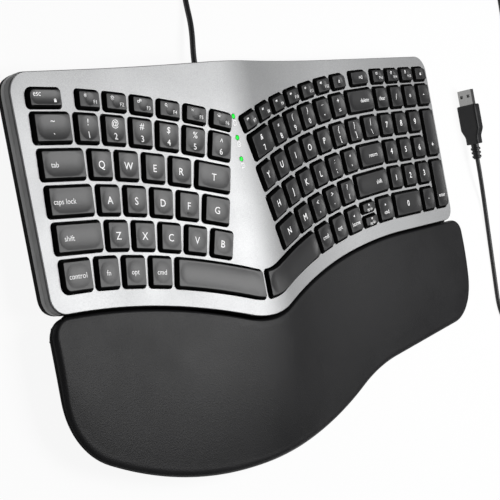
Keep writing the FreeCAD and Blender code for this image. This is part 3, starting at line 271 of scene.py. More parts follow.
# Plan of the palm rest, anticlockwise: a bellied front, a hollow flank, a narrow right end and the
# fan line behind. Its rounds touch their neighbours, so each centre is found from two distances.
def palmLines():
    left, right = -palm["left"], palm["right"]
    rear = frontRadius - palm["gap"]
    belly = np.array([-palm["bellyPlace"], palm["bellyRadius"] - palm["front"]])
    slope = math.radians(palm["flankSlope"])
    along = np.array([math.cos(slope), math.sin(slope)])
    normal = np.array([-along[1], along[0]])
    flank = np.array([palm["flankPlace"], -palm["flankFront"]])

    corner = palm["leftFrontCorner"]
    cornerX = left + corner
    cornerY = belly[1] - math.sqrt((palm["bellyRadius"] - corner) ** 2 - (cornerX - belly[0]) ** 2)
    cornerEnd = math.degrees(math.atan2(cornerY - belly[1], cornerX - belly[0])) % 360

    hollow = palm["hollowRadius"]
    base = flank - normal * hollow - belly
    ahead = base @ along
    root = math.sqrt(ahead ** 2 - base @ base + (palm["bellyRadius"] + hollow) ** 2)
    reach = min(-ahead - root, -ahead + root, key=abs)
    hollowCentre = flank + along * reach - normal * hollow
    bellyEnd = math.degrees(math.atan2(hollowCentre[1] - belly[1], hollowCentre[0] - belly[0])) % 360

    rightCorner = palm["rightFrontCorner"]
    slide = (right - rightCorner - flank[0] + normal[0] * -rightCorner) / along[0]
    rightCentre = flank + along * slide + normal * rightCorner

    rearLeft = palm["rearLeftCorner"]
    rearLeftX = left + rearLeft
    fromFan = fans["offset"] + rearLeftX
    rearLeftY = math.sqrt((rear - rearLeft) ** 2 - fromFan ** 2) - fans["datum"]
    rearTouch = math.degrees(math.atan2(rearLeftY + fans["datum"], fromFan))
    rearRight = palm["rearRightCorner"]
    rearTouchX = rearLeftX + rearLeft * math.cos(math.radians(rearTouch))

    front = np.vstack([
        arcPoints((cornerX, cornerY), corner, 180, cornerEnd, 16),
        arcPoints(belly, palm["bellyRadius"], cornerEnd, bellyEnd, 90)[1:],
        arcPoints(hollowCentre, hollow, bellyEnd - 180, 90 + palm["flankSlope"], 20)[1:],
        arcPoints(rightCentre, rightCorner, palm["flankSlope"] - 90, 0, 14),
    ])
    rearX = np.arange(right - rearRight, rearTouchX, -case["outlineStep"])
    back = np.vstack([
        arcPoints((right - rearRight, rear - fans["datum"] - rearRight), rearRight, 0, 90, 9)[:-1],
        np.stack([rearX, fanLine(rearX, rear)], -1),
        arcPoints((rearLeftX, rearLeftY), rearLeft, rearTouch, 180, 9),
    ])
    return densify(np.vstack([front, back]), case["outlineStep"]), front


# Mesh tools

# Every vertex of a surface goes to the keyboard's own frame in metres.
def toWorld(points):
    return (np.asarray(points, float) - middle) / 1000


# Plan points at one height, or each at its own.
def level(plan, height):
    return np.column_stack([plan, np.full(len(plan), height)])


# Four-sided faces between the neighbouring rings of a stack of closed rings with equal counts.
def ringFaces(ringCount, pointCount):
    ring = np.arange(ringCount - 1)[:, None] * pointCount
    here = np.arange(pointCount)[None, :]
    there = (here + 1) % pointCount
    faces = np.stack([ring + here, ring + there, ring + pointCount + there, ring + pointCount + here], -1)
    return faces.reshape(-1, 4)


# For every point of closed lines in a row: the number of the next point on its own line.
def nextPoints(loops):
    starts = np.cumsum([0] + [len(loop) for loop in loops[:-1]])
    return np.concatenate([np.roll(np.arange(len(loop)), -1) + start for loop, start in zip(loops, starts)])


# Four-sided faces between two rows of points along the same closed lines, from the rows' starts.
def wallFaces(loops, before, total):
    there = nextPoints(loops)
    here = np.arange(len(there))
    return np.stack([total + here, total + there, before + there, before + here], -1).tolist()


# A body whose top is a net that begins with the points of closed lines: rings along those lines
# lead down its side, and the last ring with the points after it repeats the net below.
def netBody(loops, triangles, top, rings, under):
    starts = [0] + [len(top) + row * len(rings[0]) for row in range(len(rings))]
    faces = triangles.tolist()
    for before, total in zip(starts, starts[1:]):
        faces += wallFaces(loops, before, total)
    faces += (triangles[:, ::-1] + starts[-1]).tolist()
    return np.vstack([top, *rings, under]), faces


# Signed volume of a closed surface: the sum over its triangles of corner products over six.
def volumeOf(points, faces):
    total = 0.0
    for size in (3, 4):
        group = np.array([face for face in faces if len(face) == size])
        if len(group):
            a, b, c = points[group[:, 0]], points[group[:, 1]], points[group[:, 2]]
            total += np.einsum("ij,ij->i", a, np.cross(b, c)).sum() / 6
            if size == 4:
                total += np.einsum("ij,ij->i", a, np.cross(c, points[group[:, 3]])).sum() / 6
    return total


# A new piece from points in millimetres and faces, turned outwards, welded and shaded.
def addPiece(name, points, faces, material, body, sharpAngle=38, normals=None, weld=True):
    world = toWorld(points)
    faces = [list(map(int, face)) for face in faces]
    if volumeOf(world, faces) < 0:
        faces = [face[::-1] for face in faces]
    mesh = bpy.data.meshes.new(name)
    mesh.from_pydata(world.tolist(), [], faces)
    if weld:
        weldPoints(mesh)
    mesh.materials.append(material)
    shade(mesh, sharpAngle)
    if normals is not None:
        mesh.normals_split_custom_set_from_vertices([tuple(normal) for normal in normals])
    mesh.update()
    piece = linkObject(name, mesh)
    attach(piece, body)
    return piece


# Smooth shading, with an edge where faces meet at more than the angle in degrees.
def shade(mesh, sharpAngle):
    mesh.shade_smooth()
    if sharpAngle:
        mesh.set_sharp_from_angle(angle=math.radians(sharpAngle))


# Gives the faces whose mark is 1 a second material.
def markFaces(piece, material, marks):
    piece.data.materials.append(material)
    piece.data.polygons.foreach_set("material_index", np.asarray(marks, np.int32))


# Joins points closer than two thousandths of a millimetre and drops the faces that this empties.
def weldPoints(mesh):
    closest = 2e-6
    net = bmesh.new()
    net.from_mesh(mesh)
    bmesh.ops.remove_doubles(net, verts=net.verts, dist=closest)
    bmesh.ops.dissolve_degenerate(net, edges=net.edges, dist=closest / 4)
    net.to_mesh(mesh)
    net.free()


carriedSharpAngle = 32
batch = 500  # points compared at once, which keeps the tables of distances small
gridGap = 0.35  # least distance from a net's rim to a point of its grid, in grid steps


# A carried-over solid with its triangles joined and its curved faces shaded smooth.
def smoothCopy(node, material):
    mesh = nodes[node].data.copy()
    mesh.name = node + "_finish"
    weldPoints(mesh)
    mesh.materials.clear()
    mesh.materials.append(material)
    if mesh.has_custom_normals:
        mesh.normals_split_custom_set([(0.0, 0.0, 0.0)] * len(mesh.loops))
    shade(mesh, carriedSharpAngle)
    mesh.update()
    piece = linkObject(node + "_finish", mesh)
    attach(piece, "case")
    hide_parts(node)
    return piece


# How far the flanks of the case and the palm rest are drawn in, at which heights over the desk.
draw = {
    "case": {
        "heights": (1.0, 7.0, 11.2), "amounts": (4.9, 3.7, 0.0), "reach": 16.0,
        "seamSide": -1, "lap": 0.0, "seam": (-154.0, 234.0),
    },
    "palm": {
        "heights": (1.0, 6.0, 11.0, 12.5), "amounts": (9.0, 9.0, 5.5, 3.0), "reach": 34.0,
        "seamSide": 1, "lap": 3.2, "seam": (-154.0, 246.0),
    },
    "lineStep": 0.6,
    "turnSpread": 5,
    "margin": 6.0,
    "seamFacing": 0.90,
    "seamBlend": 0.25,
    "cornerGain": 1.2,
    "lapSlack": 0.5,
    "lapEnd": (11.0, 12.4),
}


# Draws a carried-over solid in under the keyboard's edge: each point near the outline moves inwards
# by an amount that depends on its height, fades to nothing at a reach from the outline and is larger
# at the corners of the seam side. Along the seam between the case and the palm rest it moves out by
# the lap instead, which leaves no gap there.
def drawIn(piece, outline, part):
    own = draw[part]
    side, margin = own["seamSide"], draw["margin"]
    mesh = piece.data
    flat = np.empty(len(mesh.vertices) * 3)
    mesh.vertices.foreach_get("co", flat)
    points = flat.reshape(-1, 3) * 1000 + middle
    loop = densify(outline, draw["lineStep"])
    away = outward(loop)
    spread = draw["turnSpread"]
    away = sum(np.roll(away, step, axis=0) for step in range(-spread, spread + 1)) / (2 * spread + 1)
    away /= np.linalg.norm(away, axis=1, keepdims=True)
    inside = insideOdd(points[:, :2], loop, np.roll(loop, -1, axis=0))
    for begin in range(0, len(points), batch):
        some = points[begin:begin + batch]
        gap = np.linalg.norm(some[:, None, :2] - loop[None], axis=2)
        near = gap.argmin(1)
        depth = gap.min(1)
        within = inside[begin:begin + batch]
        facing = side * away[near, 1]
        fade = np.where(within, np.clip(1 - depth / own["reach"], 0, 1), depth < margin)
        corner = 1 + draw["cornerGain"] * np.maximum(facing, 0) * np.abs(away[near, 0])
        move = np.interp(some[:, 2], own["heights"], own["amounts"]) * fade * corner
        move += np.where(within, 0, depth * fade)
        past = np.maximum(own["seam"][0] - some[:, 0], some[:, 0] - own["seam"][1])
        free = np.clip((draw["seamFacing"] - facing) / draw["seamBlend"], 0, 1)
        free = np.maximum(free, np.clip(1 + past / margin, 0, 1))
        lap = own["lap"] * (1 - free) * np.clip(1 - depth / margin, 0, 1)
        lap *= within | (depth < draw["lapSlack"])
        lap *= np.interp(some[:, 2], draw["lapEnd"], (1.0, 0.0))
        some[:, :2] += away[near] * (lap - move * free)[:, None]
    mesh.vertices.foreach_set("co", ((points - middle) / 1000).ravel())
    mesh.update()


# Which plan points lie inside an odd number of closed lines, counted by crossings to the right.
def insideOdd(points, starts, ends):
    inside = np.zeros(len(points), bool)
    for begin in range(0, len(points), batch):
        x, y = points[begin:begin + batch, :2].T[:, :, None]
        spans = (starts[:, 1] > y) != (ends[:, 1] > y)
        rise = np.where(np.abs(ends[:, 1] - starts[:, 1]) < 1e-12, 1e-12, ends[:, 1] - starts[:, 1])
        crossing = starts[:, 0] + (y - starts[:, 1]) * (ends[:, 0] - starts[:, 0]) / rise
        inside[begin:begin + batch] = (spans & (x < crossing)).sum(1) % 2 == 1
    return inside


# Triangles between closed lines: a constrained Delaunay net over their points and an even grid,
# less the triangles whose middles lie outside or in a hole.
def fillBetween(loops, step):
    rim = np.vstack(loops)
    there = nextPoints(loops)
    ends = rim[there]
    edges = np.stack([np.arange(len(rim)), there], -1).tolist()
    low, high = rim.min(0), rim.max(0)
    axes = [np.arange(low[axis] + step / 2, high[axis], step) for axis in (0, 1)]
    grid = np.column_stack([axis.ravel() for axis in np.meshgrid(*axes)])
    grid = grid[insideOdd(grid, rim, ends)]
    near = np.concatenate([
        np.min(np.linalg.norm(part[:, None] - rim[None], axis=2), axis=1)
        for part in np.array_split(grid, max(len(grid) // batch, 1))])
    points = np.vstack([rim, grid[near > step * gridGap]])
    found = delaunay_2d_cdt([tuple(point) for point in points], edges, [], 0, 1e-6, True)
    order = np.array([ids[0] for ids in found[3]])
    triangles = np.array([[order[corner] for corner in face] for face in found[2]])
    middles = points[triangles].mean(1)
    return points, triangles[insideOdd(middles, rim, ends)]


# Materials

# A shader node whose inputs are set to values or fed from other nodes.
def addNode(tree, kind, values=None, sources=None):
    node = tree.nodes.new("ShaderNode" + kind)
    for name, value in (values or {}).items():
        node.inputs[name].default_value = value
    for name, source in (sources or {}).items():
        tree.links.new(source, node.inputs[name])
    return node


# A material with plain values on its surface node, which patterns may then drive.
def newMaterial(name, colour, roughness, metallic=0.0, specular=0.5):
    material = bpy.data.materials.new(name)
    material.use_nodes = True
    surface = material.node_tree.nodes["Principled BSDF"]
    surface.inputs["Base Color"].default_value = (*colour, 1)
    surface.inputs["Roughness"].default_value = roughness
    surface.inputs["Metallic"].default_value = metallic
    surface.inputs["Specular IOR Level"].default_value = specular
    return material, material.node_tree, surface


# Noise over the piece's own place, in features per metre, packed closer along an axis by its factor.
def noiseOver(tree, scale, detail, packing=(1, 1, 1)):
    place = addNode(tree, "TexCoord").outputs["Object"]
    packed = addNode(tree, "Mapping", {"Scale": packing}, {"Vector": place}).outputs["Vector"]
    return addNode(tree, "TexNoise", {"Scale": scale, "Detail": detail}, {"Vector": packed}).outputs["Fac"]


# Cells over the piece's own place, as leather has: the distance to the nearest cell's middle.
def grainOver(tree, scale):
    cells = addNode(tree, "TexVoronoi", sources={"Vector": addNode(tree, "TexCoord").outputs["Object"]})
    cells.feature = "SMOOTH_F1"
    cells.inputs["Scale"].default_value = scale
    cells.inputs["Smoothness"].default_value = 0.6
    return cells.outputs["Distance"]


# Colour that runs from dark to light where the source runs from low to high.
def tintBy(tree, surface, source, dark, light, low=0.3, high=0.7, socket="Base Color"):
    ramp = addNode(tree, "ValToRGB", sources={"Fac": source})
    for stop, position, colour in zip(ramp.color_ramp.elements, (low, high), (dark, light)):
        stop.position = position
        stop.color = (*colour, 1)
    tree.links.new(ramp.outputs["Color"], surface.inputs[socket])


# Roughness that runs from low to high where the source runs from start to end.
def roughenBy(tree, surface, source, low, high, start=0.3, end=0.7):
    spread = addNode(tree, "MapRange", {"From Min": start, "From Max": end, "To Min": low, "To Max": high},
                     {"Value": source})
    tree.links.new(spread.outputs["Result"], surface.inputs["Roughness"])


# Fine relief, in metres, from the sum of the sources.
def raiseBy(tree, surface, sources, distance):
    height = sources[0]
    for source in sources[1:]:
        height = addNode(tree, "Math", sources={0: height, 1: source}).outputs[0]
    bump = addNode(tree, "Bump", {"Distance": distance, "Strength": 1.0}, {"Height": height})
    tree.links.new(bump.outputs["Normal"], surface.inputs["Normal"])


# A colour times a factor, no channel past 1.
def scaled(colour, factor):
    return [min(channel * factor, 1) for channel in colour]


# Moulded plastic with a fine spark-eroded texture and slight clouding.
def mouldedPlastic(name, colour, roughness, texture=2600.0, depth=0.00002, specular=0.5):
    material, tree, surface = newMaterial(name, colour, roughness, specular=specular)
    cloud = noiseOver(tree, 60.0, 2.0)
    fine = noiseOver(tree, texture, 2.0)
    tintBy(tree, surface, cloud, scaled(colour, 0.88), scaled(colour, 1.12))
    roughenBy(tree, surface, cloud, roughness - 0.06, roughness + 0.06)
    raiseBy(tree, surface, [fine], depth)
    return material


# Key cap plastic: satin texture, a little smoother in the dish, where fingers rest.
def capPlastic():
    material, tree, surface = newMaterial("keycapBlack", (0.023, 0.023, 0.024), 0.42, specular=0.42)
    cloud = noiseOver(tree, 45.0, 2.0)
    tintBy(tree, surface, cloud, (0.021, 0.021, 0.022), (0.026, 0.026, 0.027))
    dish = addNode(tree, "Attribute")
    dish.attribute_name = "dish"
    roughenBy(tree, surface, dish.outputs["Fac"], 0.43, 0.38, 0.0, 1.0)
    raiseBy(tree, surface, [noiseOver(tree, 3200.0, 1.0)], 0.000012)
    return material


# Silver paint: fine metal flake in the colour and a soft orange-peel.
def silverPaint():
    material, tree, surface = newMaterial("plateSilver", (0.37, 0.373, 0.377), 0.49, metallic=0.6)
    flake = noiseOver(tree, 2400.0, 1.0)
    cloud = noiseOver(tree, 25.0, 2.0)
    tintBy(tree, surface, flake, (0.32, 0.323, 0.327), (0.42, 0.423, 0.427))
    roughenBy(tree, surface, cloud, 0.46, 0.52)
    raiseBy(tree, surface, [noiseOver(tree, 900.0, 2.0)], 0.000008)
    return material


# Soft polyurethane skin over foam: shallow leather cells with a finer grain in them.
def palmSkin():
    material, tree, surface = newMaterial("palmLeather", (0.012, 0.012, 0.013), 0.46, specular=0.20)
    cloud = noiseOver(tree, 30.0, 3.0)
    tintBy(tree, surface, cloud, (0.011, 0.011, 0.012), (0.015, 0.015, 0.016))
    roughenBy(tree, surface, cloud, 0.42, 0.50)
    raiseBy(tree, surface, [grainOver(tree, 1300.0), noiseOver(tree, 3000.0, 2.0)], 0.00006)
    return material


# Metal with fine lines, square to the axis along which the noise is packed closest.
def brushedMetal(name, colour, roughness, packing):
    material, tree, surface = newMaterial(name, colour, roughness, metallic=1.0)
    lines = noiseOver(tree, 900.0, 2.0, packing)
    tintBy(tree, surface, lines, scaled(colour, 0.85), colour)
    roughenBy(tree, surface, lines, roughness - 0.06, roughness + 0.08)
    raiseBy(tree, surface, [lines], 0.00001)
    return material


# Clear green lens over a lamp: it shines by itself, a little unevenly.
def glowingLens():
    material, tree, surface = newMaterial("lightGreen", (0.02, 0.55, 0.05), 0.3)
    surface.inputs["Emission Strength"].default_value = 0.9
    cloud = noiseOver(tree, 1500.0, 1.0)
    tintBy(tree, surface, cloud, (0.0, 0.55, 0.02), (0.02, 0.80, 0.06), socket="Emission Color")
    return material


# White print with a faint glow of its own, painted light that keeps it bright in the shade.
def printedInkWithGlow(name, colour):
    material, tree, surface = newMaterial(name, colour, 0.5)
    tintBy(tree, surface, noiseOver(tree, 1800.0, 2.0), scaled(colour, 0.93), colour)
    # Painted glow: the print gives off a little light though it is no lamp.
    surface.inputs["Emission Color"].default_value = (*colour, 1)
    surface.inputs["Emission Strength"].default_value = 0.35
    return material


# Green lacquer with raised tracks that run across the board.
def boardLacquer():
    material, tree, surface = newMaterial("boardGreen", (0.01, 0.12, 0.04), 0.35)
    tracks = noiseOver(tree, 500.0, 0.0, (1, 6, 1))
    tintBy(tree, surface, tracks, (0.01, 0.10, 0.035), (0.03, 0.22, 0.08), 0.48, 0.52)
    raiseBy(tree, surface, [tracks], 0.00003)
    return material


finish = {
    "cap": capPlastic(),
    # Near-black, dull plastic on the caps' walls, skirts and stems: painted shade, darker than the caps' own
    # plastic.
    "capSidePaintedShade": mouldedPlastic("keycapSidePaintedShade", (0.005, 0.005, 0.005), 0.70, specular=0.08),
    "ink": printedInkWithGlow("legendWhiteGlow", (0.92, 0.92, 0.92)),
    "plate": silverPaint(),
    "frame": mouldedPlastic("frameBlack", (0.008, 0.008, 0.008), 0.75, specular=0.2),
    "band": mouldedPlastic("bandGrey", (0.33, 0.331, 0.333), 0.45),
    "shell": mouldedPlastic("shellBlack", (0.005, 0.005, 0.005), 0.70, specular=0.06),
    "skin": palmSkin(),
    "palmBase": mouldedPlastic("palmBaseBlack", (0.006, 0.006, 0.006), 0.70, specular=0.08),
    "cord": mouldedPlastic("cordBlack", (0.014, 0.014, 0.015), 0.50, texture=1500.0),
    "plug": mouldedPlastic("plugBlack", (0.010, 0.010, 0.011), 0.48, texture=1800.0, specular=0.35),
    "metal": brushedMetal("plugMetal", (0.34, 0.34, 0.335), 0.30, (1, 8, 1)),
    "tongue": mouldedPlastic("plugPlastic", (0.75, 0.75, 0.74), 0.40),
    "glow": glowingLens(),
    "rubber": mouldedPlastic("footRubber", (0.020, 0.020, 0.020), 0.85, texture=900.0, depth=0.00005),
    "dome": mouldedPlastic("domeRubber", (0.55, 0.56, 0.55), 0.60),
    "film": mouldedPlastic("membraneFilm", (0.62, 0.66, 0.62), 0.25, texture=400.0),
    "steel": brushedMetal("baseSteel", (0.56, 0.57, 0.58), 0.35, (6, 1, 1)),
    "screw": brushedMetal("screwSteel", (0.35, 0.35, 0.36), 0.30, (1, 1, 1)),
    "board": boardLacquer(),
}

# Solids that keep the CAD's shape, with their finishes.
carriedOver = {
    "key_frame": "frame", "dome_sheet": "dome", "membrane": "film", "base_plate": "steel",
    "bottom_shell": "shell", "case_screws": "screw", "led_lenses": "glow", "rubber_feet": "rubber",
    "palm_rest_base": "palmBase", "controller_board": "board", "plug_shell": "metal",
    "plug_tongue": "tongue",
}
palmLoop, palmFront = palmLines()
for node, look in carriedOver.items():
    piece = smoothCopy(node, finish[look])
    if node in ("bottom_shell", "rubber_feet"):
        drawIn(piece, deckLoop(), "case")
    if node in ("palm_rest_base", "rubber_feet"):
        drawIn(piece, palmLoop, "palm")
print("stage: materials and carried-over pieces")


# Cord: the route's points, with the coil's turns worked out between them

cord = {
    "diameter": 3.5,
    "height": 1.8,
    "coilCentre": (28.0, 182.5),
    "coilOuter": 21.5,
    "coilPitch": 4.0,
    "coilTurns": 4.25,
    "pointsPerTurn": 24,
    "profileSteps": 4,
    "lengthSteps": 6,
}
nearRoute = [
    (-3.4, 116.4, 7.0), (-3.4, 120.4, 7.0), (2.0, 139.0, 5.4), (4.7, 156.5, 1.8), (6.5, 168.5, 1.8),
    (6.5, 179.0, 1.8),
]
farRoute = [
    (31.5, 204.0, 5.8), (50.0, 204.0, 5.8), (78.0, 202.5, 2.6), (112.0, 200.0, 1.8), (160.0, 198.0, 1.8),
    (212.0, 200.0, 1.8), (262.0, 199.0, 1.8), (312.0, 195.0, 1.8), (358.0, 190.0, 1.8), (391.0, 186.0, 1.8),
    (414.0, 179.0, 1.8), (414.0, 150.0, 1.8), (409.0, 88.0, 1.8), (396.0, 44.0, 1.8), (382.0, 2.0, 1.8),
    (371.0, -36.0, 1.8), (362.5, -68.0, 1.8), (360.0, -97.0, 1.8), (347.0, -110.5, 1.8), (328.5, -110.0, 1.8),
    (316.0, -96.0, 1.8), (318.6, -66.0, 1.8), (321.6, -30.0, 1.8), (320.9, -3.8, 3.4), (313.5, 20.2, 8.3),
    (313.5, 30.2, 8.3),
]


# Coil: clockwise turns whose radius shrinks steadily to the middle of the length and grows again,
# and whose height climbs one layer in the half turn where the spiral reverses.
def coilPoints():
    turns = cord["coilTurns"]
    share = np.linspace(0, 1, round(turns * cord["pointsPerTurn"]) + 1)
    polar = math.pi - share * 2 * math.pi * turns
    radius = cord["coilOuter"] - cord["coilPitch"] * turns * (0.5 - np.abs(share - 0.5))
    climb = np.clip((share - 0.5) * turns / 0.5 + 0.5, 0, 1)
    height = cord["height"] + cord["coilPitch"] * climb ** 2 * (3 - 2 * climb)
    centre = cord["coilCentre"]
    return np.stack([centre[0] + radius * np.cos(polar), centre[1] + radius * np.sin(polar), height], -1)


# The route as a smooth curve of the third order with a round profile.
def addCord():
    points = toWorld(np.vstack([nearRoute, coilPoints(), farRoute]))
    curve = bpy.data.curves.new("cord", "CURVE")
    curve.dimensions = "3D"
    curve.bevel_depth = cord["diameter"] / 2000
    curve.bevel_resolution = cord["profileSteps"]
    curve.use_fill_caps = True
    curve.resolution_u = cord["lengthSteps"]
    spline = curve.splines.new("NURBS")
    spline.points.add(len(points) - 1)
    spline.points.foreach_set("co", np.column_stack([points, np.ones(len(points))]).ravel())
    spline.order_u = 3
    spline.use_endpoint_u = True
    curve.materials.append(finish["cord"])
    piece = linkObject("cord", curve)
    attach(piece, "case")
    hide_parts("cord_tube_near", "cord_coil", "cord_tube_far")
    return piece, points[0]


cordPiece, cordExit = addCord()
print("stage: cord")


# Gland, plug and strain relief

gland = {
    "place": -3.4, "height": 7.0, "radius": 2.6, "tip": 2.2, "length": 3.5,
    "straight": 0.6, "edge": 0.4, "flange": 5.0, "flangeDepth": 2.0, "wallInset": 7.3,
}
plug = {
    "x": 313.5, "y": 54.2, "height": 8.3,
    "thickness": 8.6, "width": 16.6, "body": 31.0, "corner": 1.6,
    "neck": 12.0, "neckThickness": 8.0, "neckWidth": 11.2,
    "relief": 12.0, "reliefRadius": 3.4, "reliefTip": 3.0, "ring": 0.5, "ringLength": 1.9,
    "ringEdge": 0.35, "groove": 0.9, "sharpAngle": 50,
}


# A round piece along the front-to-back axis: its radius at each place along it, turned full circle.
def turned(name, profile, centre, material):
    profile = np.array(profile, float)
    angles = np.linspace(0, 2 * math.pi, 32, endpoint=False)
    along, radius = profile[:, 0][:, None], profile[:, 1][:, None]
    points = np.stack([
        centre[0] + radius * np.cos(angles), along + 0 * angles, centre[1] + radius * np.sin(angles)], -1)
    return addPiece(name, points.reshape(-1, 3), ringFaces(len(profile), len(angles)), material, "case")


def addGland():
    wall = case["back"] - gland["wallInset"]
    inside = wall - gland["flangeDepth"]
    tipEnd = case["back"] + gland["length"]
    radius, tip, edge = gland["radius"], gland["tip"], gland["edge"]
    profile = [
        (inside, 0.0), (inside, gland["flange"]), (wall, gland["flange"]), (wall, radius),
        (case["back"] + gland["straight"], radius), (tipEnd - edge, tip + 0.05), (tipEnd - 0.1, tip - 0.08),
        (tipEnd, tip - 0.3), (tipEnd, 0.0)]
    piece = turned("gland", profile, (gland["place"], gland["height"]), finish["plug"])
    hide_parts("cord_gland")
    return piece


# Sleeve that holds the cord: three rings with eased edges stand out of it, each larger than the
# one before.
def addRelief():
    start = plug["y"] - plug["neck"] - plug["relief"]
    tip, spread = plug["reliefTip"], plug["reliefRadius"] - plug["reliefTip"]
    length, edge = plug["ringLength"], plug["ringEdge"]
    profile = [(start, 0.0), (start, tip - 0.3), (start + 0.2, tip - 0.1)]
    for number in range(3):
        along = start + length / 2 + number * (plug["relief"] - 2.5) / 3
        ring = tip + spread * (number + 1) / 3 + plug["ring"]
        groove = ring - plug["groove"]
        steps = [(0.0, groove), (0.02, ring - edge), (0.1, ring - 0.1), (edge, ring)]
        profile += [(along + step, height) for step, height in steps]
        profile += [(along + length - step, height) for step, height in reversed(steps)]
    end = start + plug["relief"]
    profile += [(end, plug["reliefRadius"] - 0.2), (end, 0.0)]
    piece = turned("plug_relief", profile, (plug["x"], plug["height"]), finish["plug"])
    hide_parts("plug_strain_relief")
    return piece


# A rectangle with rounded corners, anticlockwise from its front left corner: each corner is a
# quarter circle of its own radius, each side has evenly spaced points between two corners.
def roundedLoop(width, depth, radii, less, cornerPoints, alongPoints):
    half = np.array([width / 2 - less, depth / 2 - less])
    signs = np.array([(-1, -1), (1, -1), (1, 1), (-1, 1)])
    corners = []
    for number, sign in enumerate(signs):
        radius = max(radii[number] - less, 0.35)
        start = 180 + 90 * number
        corners.append(arcPoints(sign * (half - radius), radius, start, start + 90, cornerPoints))
    parts = []
    for number in range(4):
        begin, end = corners[number][-1], corners[(number + 1) % 4][0]
        share = np.linspace(0, 1, alongPoints[number % 2] + 2)[1:-1, None]
        parts += [corners[number], begin + (end - begin) * share]
    return np.vstack(parts)


# Moulded grip: rounded rectangles across the axis, with eased ends and a step down to the neck. The
# first and last rings are single points, which close its ends.
def addOvermold():
    neckStart = plug["y"] - plug["neck"]
    bodyEnd = plug["y"] + plug["body"] - plug["neck"]
    neckThick, neckWide = plug["neckThickness"], plug["neckWidth"]
    thick, wide = plug["thickness"], plug["width"]
    neckEnd = neckStart + plug["neck"] / 2
    sections = [
        (neckStart, neckThick - 1.2, neckWide - 1.2), (neckStart + 0.15, neckThick - 0.35, neckWide - 0.35),
        (neckStart + 0.6, neckThick, neckWide), (neckEnd - 0.7, neckThick, neckWide),
        (neckEnd + 0.7, neckThick + 0.07, neckWide + 0.6), (plug["y"] - 0.8, thick - 0.1, wide - 0.75),
        (plug["y"], thick, wide - 0.2), (plug["y"] + 0.8, thick, wide),
        (plug["y"] + 3.0, thick, wide), (bodyEnd - 3.0, thick, wide), (bodyEnd - 0.1, thick, wide),
        (bodyEnd + 0.45, thick - 0.35, wide - 0.35), (bodyEnd + 0.8, thick - 1.2, wide - 1.2),
    ]
    rings = []
    for along, across, tall in sections:
        loop = roundedLoop(across, tall, [min(plug["corner"], across / 2 - 0.2)] * 4, 0.0, 7, (6, 14))
        x, z = plug["x"] + loop[:, 0], plug["height"] + loop[:, 1]
        rings.append(np.stack([x, np.full(len(loop), along), z], -1))
    count = len(rings[0])
    first, last = [np.tile([plug["x"], section[0], plug["height"]], (count, 1))
                   for section in (sections[0], sections[-1])]
    points = np.vstack([first, *rings, last])
    faces = ringFaces(len(rings) + 2, count)
    piece = addPiece("plug_grip", points, faces, finish["plug"], "case", plug["sharpAngle"])
    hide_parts("plug_overmold")
    return piece


glandPiece = addGland()
reliefPiece = addRelief()
gripPiece = addOvermold()
print("stage: plug")


# Key layout: every row runs from its outer end to the ridge

# Letter keys of the standard width.
def letters(text):
    return [("key_" + letter, fans["pitch"], [("text", letter.upper())]) for letter in text]


# Keys with two signs, upper and lower.
def pairs(node, signs):
    return [(node, fans["pitch"], [("pair", upper, lower)]) for upper, lower in signs]


# A function key's two marks: its picture towards the left and its number towards the right.
def functionLegends(number, icon, left, right):
    return [("icon", icon, -left, 2.0), ("small", "F%d" % number, right, -1.2)]


# Function keys side by side, counted from the first.
def functions(first, icons):
    return [("function_keys", fans["pitch"], functionLegends(number, icon, 2.9, 3.6))
            for number, icon in enumerate(icons, first)]


pitch, bottomPitch = fans["pitch"], fans["bottomPitch"]

# A cell is the body that its key rides on, its width, and its legends. A cell without a body is a
# gap. A legend is its kind, its sign, and its place across and up the key where it isn't the middle.
leftRows = [
    [("function_keys", 25.4, [("word", "esc", -5.5, 2.2), ("icon", "lock", 6.0, -1.4)]), ("", 7.4, [])]
    + functions(1, ["sunLow", "sunHigh", "frames", "lens", "glowLow", "glowHigh"]),
    [("punctuation_keys", 28.4, [("pair", "~", "`")])]
    + pairs("number_keys", ["!1", "@2", "#3", "$4", "%5", "^6"]),
    [("modifier_keys", 33.0, [("word", "tab", -6.0, 0)])] + letters("qwer")
    + [("key_t", 28.5, [("text", "T")])],
    [("modifier_keys", 34.1, [("word", "caps lock", -4.6, 0)])] + letters("asdf")
    + [("key_g", 22.3, [("text", "G")])],
    [("shift_left", 35.4, [("word", "shift", -6.8, 0)])] + letters("zxcvb"),
    [("modifier_keys", 23.3, [("word", "control", 0, 0)])]
    + [("modifier_keys", bottomPitch, [("word", name, 0, 0)]) for name in ("fn", "opt", "cmd")],
]
rightRows = [
    [("", 2.2, []), ("function_keys", 24.5, [("icon", "screen", 1.5, 0.2)]), ("", 3.3, []),
     ("function_keys", pitch, [("icon", "eject", 0, 0)])]
    + functions(7, ["back", "play", "ahead", "mute", "soft", "loud"])[::-1],
    [("delete", 35.0, [("word", "delete", 5.0, 0)])] + pairs("punctuation_keys", ["+=", "_-"])
    + pairs("number_keys", [")0", "(9", "*8"]) + [("number_keys", 28.2, [("pair", "&", "7")])],
    [("punctuation_keys", 21.4, [("pair", "|", "\\")])] + pairs("punctuation_keys", ["}]", "{["])
    + letters("poiuy"),
    [("return", 32.8, [("word", "return", 2.0, 0)])] + pairs("punctuation_keys", ["\"'", ":;"])
    + letters("lkj") + [("key_h", 22.0, [("text", "H")])],
    [("shift_right", 42.7, [("word", "shift", 8.5, 0)])] + pairs("punctuation_keys", ["?/", ">.", "<,"])
    + letters("m") + [("key_n", 26.6, [("text", "N")])],
    [("arrow_keys", 21.5, [("icon", "right", 0, 2.6), ("word", "end", 0, -2.4)]),
     ("half_keys", bottomPitch, []),
     ("arrow_keys", bottomPitch, [("icon", "left", 0, 2.6), ("word", "home", 0, -2.4)])]
    + [("modifier_keys", bottomPitch, [("word", name, 0, 0)]) for name in ("opt", "cmd")],
]
